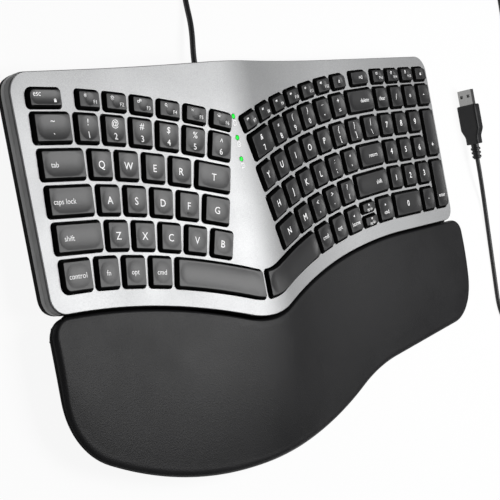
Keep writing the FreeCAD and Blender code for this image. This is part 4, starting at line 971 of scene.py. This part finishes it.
halfLegends = {
    -1: [("icon", "down", 0, 1.3), ("small", "pg dn", 0, -1.4)],
    1: [("icon", "up", 0, 1.3), ("small", "pg up", 0, -1.4)],
}
padLegends = [
    [functionLegends(number, icon, 2.0, 3.0) for number, icon in enumerate(("keys", "tag", "page"), 13)]
    + [[("icon", "lock", 0, 0)]],
    [[("word", "clear", 0, 0)]] + [[("text", sign)] for sign in "/*-"],
] + [[[("text", digit)] for digit in row] for row in ("789", "456", "123")]


# Where a fan's point lies in plan: side -1 is the left hand's fan.
def fanPlace(side, radius, angle):
    x = side * (fans["offset"] - radius * math.sin(angle))
    return np.array([x, radius * math.cos(angle) - fans["datum"]])


# One key as the plate, its cap and its legend need it. Its sizes are those of its hole, and a big
# corner is counted anticlockwise from the front left.
def keyOf(node, place, turn, width, depth, legends, bigCorner=None):
    return {"node": node, "place": place, "turn": turn, "width": width, "depth": depth,
            "legends": legends, "bigCorner": bigCorner}


# Keys of one fan: each row steps round its circle by cell width over radius. Also gives the angle
# where the bottom row ends.
def fanKeys(side, rows, margin):
    found = []
    for row, cells in enumerate(rows):
        radius = rowRadii[row]
        angle = math.asin((fans["offset"] - margin) / radius)
        for number, (node, width, legends) in enumerate(cells):
            at = angle + width / radius / 2
            angle += width / radius
            hole = width - fans["web"]
            if node == "half_keys":
                half = (rowHoles[row] - fans["halfWeb"]) / 2
                for rise in (-1, 1):
                    spot = fanPlace(side, radius + rise * (half + fans["halfWeb"]) / 2, at)
                    found.append(keyOf("arrow_keys", spot, side * at, hole, half, halfLegends[rise]))
            elif node:
                big = None
                if side < 0 and number == 0:
                    big = {0: 3, 5: 0}.get(row)
                if side > 0 and row == 0 and number in (1, 3):
                    big = 2
                place = fanPlace(side, radius, at)
                found.append(keyOf(node, place, side * at, hole, rowHoles[row], legends, big))
    return found, angle


# Number pad: four straight columns, two tall keys and one wide one.
def padKeys():
    found = []

    def place(column, row):
        return np.array([fans["rightMargin"] + (column + 0.5) * pitch, rowRadii[row] - fans["datum"]])

    def add(node, at, width, depth, legends, bigCorner=None):
        found.append(keyOf(node, at, 0.0, width, depth, legends, bigCorner))

    for row, legends in enumerate(padLegends):
        for column, legend in enumerate(legends):
            node = "numpad_keys" if row else "function_keys"
            big = 2 if (row, column) == (0, 3) else None
            add(node, place(column, row), letterHole, rowHoles[row], legend, big)
    double = letterHole + pitch
    add("numpad_keys", (place(3, 2) + place(3, 3)) / 2, letterHole, double, [("text", "+", 0, -9.0)])
    top = place(3, 4)[1] + letterHole / 2
    low = place(3, 5)[1] - fans["bottomHole"] / 2
    enter = np.array([place(3, 4)[0], (top + low) / 2])
    add("numpad_keys", enter, letterHole, top - low, [("word", "enter", 0, -8.5)], 1)
    wide = (place(0, 5) + place(1, 5)) / 2
    add("numpad_keys", wide, double, fans["bottomHole"], [("text", "0")])
    add("numpad_keys", place(2, 5), letterHole, fans["bottomHole"], [("text", ".")])
    return found


leftKeys, leftEnd = fanKeys(-1, leftRows, fans["leftMargin"])
rightKeys, rightEnd = fanKeys(1, rightRows, fans["rightMargin"])
keys = leftKeys + rightKeys + padKeys()

# The keys that ride on each body.
members = {}
for key in keys:
    members.setdefault(key["node"], []).append(key)

cap = {
    "clearance": 0.8,
    "height": 2.4,
    "edge": 0.8,
    "taper": 0.95,
    "roll": 0.24,
    "skirt": 2.6,
    "wall": 1.2,
    "lip": 0.3,
    "dishWidth": 13.2,
    "dishDepth": 0.68,
    "dishEdge": 0.12,
    "dishShares": (0.985, 0.9, 0.75, 0.55, 0.35, 0.15, 0.0),
    "stemRadius": 2.7,
    "stemGap": 0.2,
    "stemDepth": 8.6,
    "holeCorner": 2.2,
    "largeCorner": 4.5,
    "rollSteps": 6,
    "barWidth": 3.6,
    "barDepth": 0.9,
    "barRise": 0.3,
    "barPlace": -4.4,
    "sharpAngle": 45,
}


# Corner radii of a key's hole, of which one may be large.
def holeRadii(bigCorner):
    radii = [cap["holeCorner"]] * 4
    if bigCorner is not None:
        radii[bigCorner] = cap["largeCorner"]
    return radii


# Dish of a cap: how wide it is, how deep, and the half length of its straight middle.
def dishOf(width, depth):
    top = np.array([width, depth]) - 2 * cap["clearance"] - 2 * cap["taper"] - 2 * cap["lip"]
    across = min(cap["dishWidth"], top[0], top[1])
    long = np.array([width, depth]) > fans["pitch"]
    half = np.where(long, np.maximum(top - across, 0) / 2, 0)
    return across / 2, cap["dishDepth"] * across / cap["dishWidth"], half


# Height of a cap's top at points of its own frame: flat, less a bowl inside the dish's radius.
def topHeight(points, width, depth):
    radius, sink, half = dishOf(width, depth)
    away = points - np.clip(points, -half, half)
    share = np.minimum(np.linalg.norm(away, axis=-1) / radius, 1)
    return cap["height"] - sink * (1 - share ** 2)


# A cap as closed rings from the stem's end, over the hollow and skirt, round the rolled edge and
# the lip, down into the dish: each ring is a rounded rectangle or its blend into the dish's outline.
def capRings(width, depth, radii, alongPoints):
    less = cap["clearance"]
    wide, deep = width - 2 * less, depth - 2 * less
    ownRadii = [radius - less for radius in radii]
    evenRadii = [cap["holeCorner"] - less] * 4
    radius, sink, half = dishOf(width, depth)
    roof = cap["height"] - cap["wall"] - sink

    def ring(inset, height):
        return level(roundedLoop(wide, deep, ownRadii, inset, 5, alongPoints), height)

    even = roundedLoop(wide, deep, evenRadii, cap["taper"], 5, alongPoints)
    heart = np.clip(even, -half, half)
    direction = (even - heart) / np.linalg.norm(even - heart, axis=1, keepdims=True)
    stem = even / np.linalg.norm(even, axis=1, keepdims=True)
    stem *= min(cap["stemRadius"], deep / 2 - cap["wall"] - cap["stemGap"])
    rings = [
        level(stem * 0, -cap["stemDepth"]), level(stem, -cap["stemDepth"]), level(stem, roof),
        ring(cap["wall"], roof), ring(cap["wall"], -cap["skirt"]), ring(0.0, -cap["skirt"]),
        ring(0.0, cap["edge"]),
    ]
    sides = len(rings)
    roll = cap["roll"]
    lean = math.atan2(cap["taper"] - roll, cap["height"] - roll - cap["edge"])
    for turn in np.linspace(lean, math.pi / 2, cap["rollSteps"]):
        height = cap["height"] - roll * (1 - math.sin(turn))
        rings.append(ring(cap["taper"] - roll * math.cos(turn), height))
    rings.append(level(heart + direction * (radius + cap["dishEdge"]), cap["height"]))
    under = len(rings)
    for share in cap["dishShares"]:
        rings.append(level(heart + direction * radius * share, cap["height"] - sink * (1 - share ** 2)))
    dish = np.repeat([0.0] * under + [1.0] * (len(rings) - under), len(even))
    # Marks 1 for the stem, hollow, skirt and walls, which take the painted-shade plastic.
    paintedShadeMarks = np.repeat([1] * sides + [0] * (len(rings) - 1 - sides), len(even))
    return np.array(rings), dish, paintedShadeMarks


# From a key's own frame, square to the deck, to the keyboard's: turned in plan, leaned, moved.
def placeKey(points, key):
    x, y = key["place"]
    turn, lean = key["turn"], float(tilt(x))
    cosTurn, sinTurn, cosLean, sinLean = math.cos(turn), math.sin(turn), math.cos(lean), math.sin(lean)
    across = points[..., 0] * cosTurn - points[..., 1] * sinTurn
    along = points[..., 0] * sinTurn + points[..., 1] * cosTurn
    up = points[..., 2]
    height = deckHeight(x) + across * sinLean + up * cosLean
    return np.stack([x + across * cosLean - up * sinLean, y + along, height], -1)


# Each space bar's side, and the angle where the keys beside it end.
bars = {"space_bar_left": (-1, leftEnd), "space_bar_right": (1, rightEnd)}


# Space bar's hole: its middle length and its outer and inner ends.
def barEnds(side, endAngle):
    outer = endAngle + fans["web"] / 2 / bottomRow
    inner = fans["split"] + side * fans["web"] / 2
    outerX = side * (fans["offset"] - bottomRow * math.sin(outer))
    return outer, inner, abs(inner - outerX)


# From a space bar's straight frame to plan: across it the radius grows, along it x runs from the
# outer end's ray to the split, and y follows the fan line.
def barPlan(points, side, endAngle):
    outer, inner, length = barEnds(side, endAngle)
    radius = bottomRow + points[..., 1]
    outerX = side * (fans["offset"] - radius * np.sin(outer))
    share = (length / 2 - side * points[..., 0]) / length
    x = outerX + (inner - outerX) * share
    return np.stack([x, fanLine(x, radius)], -1)


# All shapes of one piece as one: their points in a row, and their faces counted on.
def joinShapes(shapes):
    points, faces, first = [], [], 0
    for own, ownFaces in shapes:
        points.append(own)
        faces += [[corner + first for corner in face] for face in ownFaces]
        first += len(own)
    return np.vstack(points), faces


# The caps of each body as one piece, then the space bars, whose straight shape is bent to the row.
def addCaps():
    for node in sorted(members):
        # Each part's marks for its painted-shade walls are gathered beside its dish.
        shapes, dishes, paintedShadeMarks = [], [], []
        for key in members[node]:
            parts = [capRings(key["width"], key["depth"], holeRadii(key["bigCorner"]), (5, 5))]
            if node in ("key_f", "key_j"):
                parts.append(homingBar(key))
            for rings, dish, look in parts:
                points = placeKey(rings.reshape(-1, 3), key)
                shapes.append((points, ringFaces(len(rings), rings.shape[1]).tolist()))
                dishes.append(dish)
                paintedShadeMarks.append(look)
        finishCap(node, *joinShapes(shapes), np.concatenate(dishes), np.concatenate(paintedShadeMarks))
    for node, (side, endAngle) in bars.items():
        length = barEnds(side, endAngle)[2]
        rings, dish, look = capRings(length, fans["bottomHole"], holeRadii(None), (44, 6))
        flat = rings.reshape(-1, 3)
        points = onDeck(barPlan(flat[:, :2], side, endAngle), flat[:, 2])
        finishCap(node, points, ringFaces(len(rings), rings.shape[1]), dish, look)


# Marks the dish for the finish and gives the walls a near-black plastic as painted shade, then welds the
# poles.
def finishCap(node, points, faces, dish, paintedShadeMarks):
    piece = addPiece("cap_" + node, points, faces, finish["cap"], node, None, weld=False)
    attribute = piece.data.attributes.new("dish", "FLOAT", "POINT")
    attribute.data.foreach_set("value", dish.astype(np.float32))
    markFaces(piece, finish["capSidePaintedShade"], paintedShadeMarks)
    weldPoints(piece.data)
    shade(piece.data, cap["sharpAngle"])
    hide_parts(node)


# Homing bar: a small rounded bar that stands out of the dish's front. The first and last rings are
# single points in its middle.
def homingBar(key):
    rise = cap["barRise"]
    centre = np.array([0.0, cap["barPlace"]])
    base = float(topHeight(centre[None], key["width"], key["depth"])[0])
    sizes = [(None, -0.3), (0.0, -0.3), (0.0, 0.1), (0.12, rise - 0.06), (0.3, rise), (None, rise)]
    rings = []
    wide, deep = cap["barWidth"], cap["barDepth"]
    for inset, height in sizes:
        loop = roundedLoop(wide, deep, [deep / 2] * 4, inset or 0.0, 4, (3, 1))
        if inset is None:
            loop = loop * 0
        rings.append(level(loop + centre, base + height))
    count = len(rings[0])
    return np.array(rings), np.ones(len(rings) * count), np.zeros((len(rings) - 1) * count)


addCaps()
print("stage: key caps")


# Plate: the flat between the holes is a net on the deck, and every edge is rolled over and carried
# down square to the deck.
def addPlate():
    loops = [deckLoop()]
    for key in keys:
        loop = roundedLoop(key["width"], key["depth"], holeRadii(key["bigCorner"]), 0, 6, (5, 5))
        loops.append(placeKey(level(loop, 0.0), key)[:, :2])
    for side, endAngle in bars.values():
        length = barEnds(side, endAngle)[2]
        loop = roundedLoop(length, fans["bottomHole"], holeRadii(None), 0, 6, (44, 5))
        loops.append(barPlan(loop, side, endAngle))
    for place in lightPlaces:
        loops.append(arcPoints(place, lights["radius"] + lights["clearance"], 0, 345, 24))
    roll = case["edgeRoll"]
    inward = [-outward(loops[0])] + [outward(loop) for loop in loops[1:]]
    inner = [loop + away * roll for loop, away in zip(loops, inward)]
    netPoints, triangles = fillBetween(inner, case["gridStep"])
    rim, away = np.vstack(loops), np.vstack(inward)
    up, rimUp = deckNormal(netPoints), deckNormal(rim)
    lean = tilt(rim[:, 0])
    side = -np.stack([away[:, 0] * np.cos(lean), away[:, 1], away[:, 0] * np.sin(lean)], -1)
    rings, normals = [], [up]
    for turn, depth in ((60, None), (30, None), (0, None), (0, deck["thickness"])):
        angle = math.radians(turn)
        dip = roll * (1 - math.sin(angle)) if depth is None else depth
        rings.append(onDeck(rim + away * roll * (1 - math.cos(angle)), -dip))
        normals.append(side * math.cos(angle) + rimUp * math.sin(angle))
    normals.append(-up[len(rim):])
    under = onDeck(netPoints[len(rim):], -deck["thickness"])
    points, faces = netBody(loops, triangles, onDeck(netPoints, 0.0), rings, under)
    piece = addPiece("plate", points, faces, finish["plate"], "case", None, np.vstack(normals), False)
    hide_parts("top_plate")


# Direction square to the deck at plan points.
def deckNormal(plan):
    lean = tilt(plan[:, 0])
    return np.stack([-np.sin(lean), 0 * lean, np.cos(lean)], -1)


lights = {
    "place": 4.2, "first": 79.7, "pitch": 12.8, "radius": 1.3, "clearance": 0.05,
    "markFrame": (2.4, 2.6), "markHeight": 1.5, "markOffset": (0.3, -4.0), "markLift": 0.03,
}
lightPlaces = [(-lights["place"], lights["first"] - number * lights["pitch"]) for number in range(3)]
addPlate()
print("stage: plate")


# Side band: one closed profile, given as offset outwards and depth under the deck, carried along
# the plate's outline. Its grey upper part rolls in over the seam to the plate. Its offset is smaller
# at the back, and in front, where it faces the palm rest; there all of it is painted black as shade.
def addBand():
    out, lap, roll = case["bandOut"], case["bandLap"], case["bandRoll"]
    top = deck["thickness"] + case["bandGroove"]
    grey, low = case["greyDepth"], case["bandDepth"]
    seam, rim = case["seam"], top - case["seamRise"]
    profile = [(-lap, top), (seam, top), (seam, rim + 0.1), (seam + 0.1, rim)]
    for turn in (70, 45, 20, 0):
        angle = math.radians(turn)
        profile.append((out - roll * (1 - math.cos(angle)), top + roll * (1 - math.sin(angle))))
    edge, black = case["greyEdge"], grey + case["blackStart"]
    profile += [(out, grey - edge * 0.75), (out - edge * 0.25, grey - edge * 0.25)]
    profile += [(out - edge, grey), (out - edge * 1.5, grey + edge * 0.125)]
    greyRings = len(profile) - 1
    for share in (0.0, 0.5, 1.0):
        profile.append((out - edge - case["lipDraw"] * share, black + (low - black) * share))
    profile.append((-lap, low))
    loop = deckLoop()
    away = outward(loop)
    slim = 1 - np.interp(away[:, 1], case["backFacing"], (0.0, case["backDraw"]))
    slim -= np.interp(-away[:, 1], case["frontFacing"], (0.0, case["frontDraw"]))
    rings = []
    for offset, depth in profile + profile[:1]:
        plan = loop + away * (offset * np.where(offset > seam, slim, 1))[:, None]
        rings.append(level(plan, deckHeight(plan[:, 0]) - depth))
    faces = ringFaces(len(rings), len(loop))
    sharpAngle = case["bandSharpAngle"]
    piece = addPiece("band", np.vstack(rings), faces, finish["band"], "case", sharpAngle, weld=False)
    left, right = draw["case"]["seam"]
    # Faces along the front that turn to the palm rest get the black shell plastic as painted shade.
    paintedShade = (away[:, 1] < -case["paintedShadeFacing"]) & (loop[:, 0] > left) & (loop[:, 0] < right)
    below = np.arange(len(faces)) >= greyRings * len(loop)
    markFaces(piece, finish["shell"], below | np.tile(paintedShade, len(rings) - 1))
    weldPoints(piece.data)
    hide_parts("side_band")


addBand()
print("stage: band")


# Palm rest

# Height of the cushion over the desk: a straight blend from the front's height to the rear's, which
# follows the deck, plus a crown that is highest midway.
def cushionTop(plan):
    x, y = plan[..., 0], plan[..., 1]
    wing = float(deckHeight(deck["wingStart"]))
    hump = deckHeight(x) - wing
    front = np.interp(x, palmFront[:, 0], palmFront[:, 1])
    rear = fanLine(x, frontRadius - palm["gap"])
    share = np.clip((y - front) / (rear - front), 0, 1)
    low = palm["frontHeight"] + palm["frontHump"] * hump
    high = wing - palm["rearDrop"] + hump
    return low + (high - low) * share + palm["crown"] * 4 * share * (1 - share)


# Cushion: drawn-in sides that swell to the outline and roll over into the crowned top. The roll is
# wide in front and tight behind. The top is a net whose height is the crown's.
def addCushion():
    away = outward(palmLoop)
    front, rear = palm["rollFront"], palm["rollRear"]
    wide = (front + rear) / 2 - away[:, 1] * (front - rear) / 2
    inner = palmLoop - away * wide[:, None]
    netPoints, triangles = fillBetween([inner], case["gridStep"])
    rise = cushionTop(inner) - palm["seat"]
    step = palm["shoulder"]
    profile = []
    for turn in palm["rollTurns"]:
        angle = math.radians(turn)
        profile.append((wide * (1 - math.cos(angle)), step + (1 - step) * math.sin(angle)))
    rollRings = len(profile)
    for share in palm["sideShares"]:
        profile.append((palm["tuck"] * (1 - share / step) ** 2 + 0 * wide, share))
    rings = [level(palmLoop - away * inset[:, None], palm["seat"] + rise * share) for inset, share in profile]
    count = len(palmLoop)
    under = level(netPoints[count:], palm["seat"])
    points, faces = netBody([palmLoop], triangles, level(netPoints, cushionTop(netPoints)), rings, under)
    piece = addPiece("palm_cushion", points, faces, finish["skin"], "case", palm["sharpAngle"], weld=False)
    # The tucked side under the roll takes the base's black plastic: partly the cushion's own two-piece
    # colour, partly painted shade under the swell.
    markFaces(piece, finish["palmBase"], np.arange(len(faces)) >= len(triangles) + (rollRings - 1) * count)
    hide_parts("palm_rest_cushion")


addCushion()
print("stage: palm rest")


# Legends: printed film that follows the caps' dished tops

ink = {
    "text": 4.3,
    "pair": 3.7,
    "pairRise": 3.3,
    "word": 3.0,
    "small": 2.1,
    "lift": 0.05,
    "film": 0.05,
    "line": 0.28,
    "thinLine": 0.2,
    "thickLine": 0.35,
    "sharpAngle": 30,
    "bold": 0.001,
    "wordBold": -0.006,
    "capShare": 0.729,
}
glyphStore = {}


# Outlines of a word as arrays of points and faces, in millimetres round its middle.
def glyphs(text, height):
    wanted = (text, height)
    if wanted not in glyphStore:
        curve = bpy.data.curves.new("legend", "FONT")
        curve.body = text
        curve.size = height / ink["capShare"]
        curve.align_x = "CENTER"
        curve.extrude = ink["film"]
        curve.offset = ink["wordBold" if len(text) > 1 else "bold"] * curve.size
        curve.resolution_u = 3
        holder = bpy.data.objects.new("legend", curve)
        mesh = bpy.data.meshes.new_from_object(holder)
        points = np.array([vertex.co for vertex in mesh.vertices])
        faces = [list(face.vertices) for face in mesh.polygons]
        bpy.data.meshes.remove(mesh)
        bpy.data.objects.remove(holder)
        bpy.data.curves.remove(curve)
        low, high = points.min(0), points.max(0)
        points[:, 0] -= (low[0] + high[0]) / 2
        points[:, 1] -= height / 2 if len(text) > 1 or text.isalnum() else (low[1] + high[1]) / 2
        glyphStore[wanted] = (points, faces)
    return glyphStore[wanted]


# A flat shape with a thickness: its line above and below, capped, and joined round the side.
def slab(line):
    line = np.array(line, float)
    count = len(line)
    points = np.vstack([level(line, ink["film"]), level(line, -ink["film"])])
    caps = [list(range(count)), list(range(2 * count - 1, count - 1, -1))]
    return points, caps + wallFaces([line], 0, count)


# A straight bar: half the width to each side of the line between two points.
def stroke(x0, y0, x1, y1, width=ink["line"]):
    start, end = np.array([x0, y0]), np.array([x1, y1])
    along = (end - start) / np.linalg.norm(end - start)
    across = np.array([-along[1], along[0]]) * width / 2
    return slab([start - across, end - across, end + across, start + across])


# An arc with the line's width: a larger circle's points there and a smaller one's back.
def bend(x, y, radius, start, end):
    half = ink["line"] / 2
    outer = arcPoints((x, y), radius + half, start, end, 14)
    inner = arcPoints((x, y), radius - half, end, start, 14)
    return slab(np.vstack([outer, inner]))


# A filled circle as twelve points.
def dot(x, y, radius):
    return slab(arcPoints((x, y), radius, 0, 330, 12))


# Short bars that point away from the middle, spread evenly between two angles in degrees.
def rays(radius, length, count, start=0.0, end=360.0):
    found = []
    for angle in np.radians(np.linspace(start, end, count, endpoint=end - start < 360)):
        cosine, sine = math.cos(angle), math.sin(angle)
        far = radius + length
        found.append(stroke(radius * cosine, radius * sine, far * cosine, far * sine, ink["thinLine"]))
    return found


# A ring as two arcs of nearly half a circle.
def ringOf(x, y, radius):
    return [bend(x, y, radius, 0, 178), bend(x, y, radius, 180, 358)]


# The four sides of a rectangle as bars.
def frameOf(x, y, wide, tall):
    left, right, low, high = x - wide / 2, x + wide / 2, y - tall / 2, y + tall / 2
    rows = [stroke(left, y, right, y) for y in (low, high)]
    return rows + [stroke(x, low, x, high) for x in (left, right)]


# A filled triangle: three points of a circle, the first at the turn in degrees.
def arrow(turn, size=0.95, x=0.0, y=0.0):
    return slab(arcPoints((x, y), size, turn, turn + 240, 3))


speaker = slab([(-1.1, -0.35), (-0.6, -0.35), (0.0, -0.9), (0.0, 0.9), (-0.6, 0.35), (-1.1, 0.35)])

# Small pictures, in millimetres round their middles.
icons = {
    "lock": [slab([(-0.8, -1.1), (0.8, -1.1), (0.8, 0.2), (-0.8, 0.2)]), bend(0, 0.2, 0.5, 0, 180)],
    "sunLow": ringOf(0, 0, 0.5) + rays(0.85, 0.25, 9),
    "sunHigh": ringOf(0, 0, 0.6) + rays(0.95, 0.5, 9),
    "frames": frameOf(-0.6, -0.3, 1.3, 1.0) + frameOf(0.7, 0.5, 1.2, 0.9),
    "lens": ringOf(0, 0.2, 0.7) + [stroke(0.5, -0.35, 1.1, -1.0)],
    "glowLow": [bend(0, -0.5, 0.55, 0, 180)] + rays(0.95, 0.3, 5, 10, 170),
    "glowHigh": [bend(0, -0.5, 0.7, 0, 180), stroke(-1.0, -0.6, 1.0, -0.6)] + rays(1.1, 0.4, 5, 10, 170),
    "back": [arrow(180, 0.7, 0.6), arrow(180, 0.7, -0.4), stroke(-1.2, -0.7, -1.2, 0.7)],
    "play": [arrow(0, 0.8, -0.5), stroke(0.5, -0.7, 0.5, 0.7), stroke(1.0, -0.7, 1.0, 0.7)],
    "ahead": [arrow(0, 0.7, -0.6), arrow(0, 0.7, 0.4), stroke(1.2, -0.7, 1.2, 0.7)],
    "mute": [speaker, stroke(0.5, -0.5, 1.2, 0.5), stroke(0.5, 0.5, 1.2, -0.5)],
    "soft": [speaker, bend(0.1, 0, 0.6, -50, 50)],
    "loud": [speaker, bend(0.1, 0, 0.6, -50, 50), bend(0.1, 0, 1.15, -50, 50)],
    "eject": [arrow(90, 1.0, 0, 0.3), stroke(-0.9, -0.7, 0.9, -0.7, ink["thickLine"])],
    "screen": frameOf(1.2, 0, 1.5, 1.9) + ringOf(-1.4, 0, 0.55) + [stroke(-0.8, 0, 0.1, 0)],
    "keys": frameOf(0, 0, 2.2, 1.3) + [stroke(-0.6, 0, 0.6, 0)],
    "tag": [bend(0, 0, 0.9, -45, 225), stroke(-0.65, -0.65, 0, -1.2), stroke(0, -1.2, 0.65, -0.65),
            dot(0, 0.2, 0.25)],
    "page": frameOf(0, 0, 1.4, 2.0) + [stroke(-0.3, 0.3, 0.3, 0.3), stroke(-0.3, -0.2, 0.3, -0.2)],
    "up": [arrow(90)], "down": [arrow(270)], "left": [arrow(180)], "right": [arrow(0)],
}


# The parts of one legend entry, each with its middle in the key's frame.
def legendParts(entry):
    kind, name = entry[:2]
    if kind == "pair":
        rise = ink["pairRise"]
        return [(glyphs(name, ink["pair"]), 0, rise), (glyphs(entry[2], ink["pair"]), 0, -rise)]
    x, y = entry[2:] or (0, 0)
    if kind == "icon":
        return [(shape, x, y) for shape in icons[name]]
    return [(glyphs(name, ink[kind]), x, y)]


# The legends of each body as one piece, each shape laid on its cap's dished top.
def addLegends():
    for node in sorted(members):
        shapes = []
        for key in members[node]:
            for entry in key["legends"]:
                for (shape, faces), x, y in legendParts(entry):
                    local = shape + np.array([x, y, 0])
                    local[:, 2] += topHeight(local[:, :2], key["width"], key["depth"]) + ink["lift"]
                    shapes.append((placeKey(local, key), faces))
        if shapes:
            points, faces = joinShapes(shapes)
            addPiece("legend_" + node, points, faces, finish["ink"], node, ink["sharpAngle"], weld=False)


# Small marks beside the three lights, printed on the plate.
def addLightMarks():
    shapes = []
    for place, sign in zip(lightPlaces, "1AF"):
        for shape, faces in frameOf(0, 0, *lights["markFrame"]) + [glyphs(sign, lights["markHeight"])]:
            plan = shape[:, :2] + (np.array(place) + lights["markOffset"])
            shapes.append((onDeck(plan, shape[:, 2] + lights["markLift"]), faces))
    addPiece("light_marks", *joinShapes(shapes), finish["ink"], "case", ink["sharpAngle"], weld=False)


addLegends()
addLightMarks()
print("stage: legends")


# Studio

studio = {
    "floorSize": 6.0,
    "floorColour": (0.93, 0.93, 0.93),
    "floorGlow": 0.92,
    "worldLevel": 0.06,
    "softbox": {"place": (0.39, -0.03, 0.80), "aim": (0.0, 0.0, 0.0), "size": (0.5, 0.6), "power": 7.8},
    "fill": {"place": (-1.3, -0.5, 0.8), "aim": (0.0, 0.0, 0.0), "size": (0.8, 0.8), "power": 1.0},
}


# Seen by the camera or mirrored, the floor is partly its own white, and elsewhere plain paint, so
# that it keeps the object's shadow.
def addFloor():
    material = bpy.data.materials.new("floorPaint")
    material.use_nodes = True
    tree = material.node_tree
    tree.nodes.clear()
    paint = addNode(tree, "BsdfDiffuse", {"Color": (*studio["floorColour"], 1)})
    glow = addNode(tree, "Emission", {"Strength": 1.0})
    share = addNode(tree, "Math", {1: studio["floorGlow"]}, {0: seenDirectly(tree)})
    share.operation = "MULTIPLY"
    mixed = {"Fac": share.outputs[0], 1: paint.outputs[0], 2: glow.outputs[0]}
    blend = addNode(tree, "MixShader", sources=mixed)
    addNode(tree, "OutputMaterial", sources={"Surface": blend.outputs[0]})
    half = studio["floorSize"] / 2
    mesh = bpy.data.meshes.new("floor")
    corners = [(-half, -half, 0), (half, -half, 0), (half, half, 0), (-half, half, 0)]
    mesh.from_pydata(corners, [], [(0, 1, 2, 3)])
    mesh.materials.append(material)
    linkObject("floor", mesh)


# 1 for a ray from the camera and for one by way of a mirror or a clear face, else 0.
def seenDirectly(tree):
    path = addNode(tree, "LightPath")
    total = path.outputs["Is Camera Ray"]
    for name in ("Is Glossy Ray", "Is Transmission Ray"):
        either = addNode(tree, "Math", sources={0: total, 1: path.outputs[name]})
        either.operation = "MAXIMUM"
        total = either.outputs[0]
    return total


# The world is white behind the object, and lights it at its own low level.
def addWorld():
    world = bpy.data.worlds.new("studio")
    world.use_nodes = True
    tree = world.node_tree
    seen = addNode(tree, "LightPath").outputs["Is Camera Ray"]
    strength = addNode(tree, "MapRange", {"To Min": studio["worldLevel"], "To Max": 1.0}, {"Value": seen})
    background = tree.nodes["Background"]
    tree.links.new(strength.outputs["Result"], background.inputs["Strength"])
    background.inputs["Color"].default_value = (1, 1, 1, 1)
    bpy.context.scene.world = world


# Area lamp at its place, turned towards its aim.
def addLamp(name):
    values = studio[name]
    data = bpy.data.lights.new(name, "AREA")
    data.shape = "RECTANGLE"
    data.size, data.size_y = values["size"]
    data.energy = values["power"]
    lamp = linkObject(name, data)
    lamp.location = values["place"]
    toward = np.array(values["aim"]) - np.array(values["place"])
    down = math.atan2(-toward[2], math.hypot(toward[0], toward[1]))
    lamp.rotation_euler = (math.pi / 2 - down, 0.0, math.atan2(toward[1], toward[0]) - math.pi / 2)


addFloor()
addWorld()
for name in ("softbox", "fill"):
    addLamp(name)
bpy.context.scene.view_settings.view_transform = "Standard"
print("stage: studio")
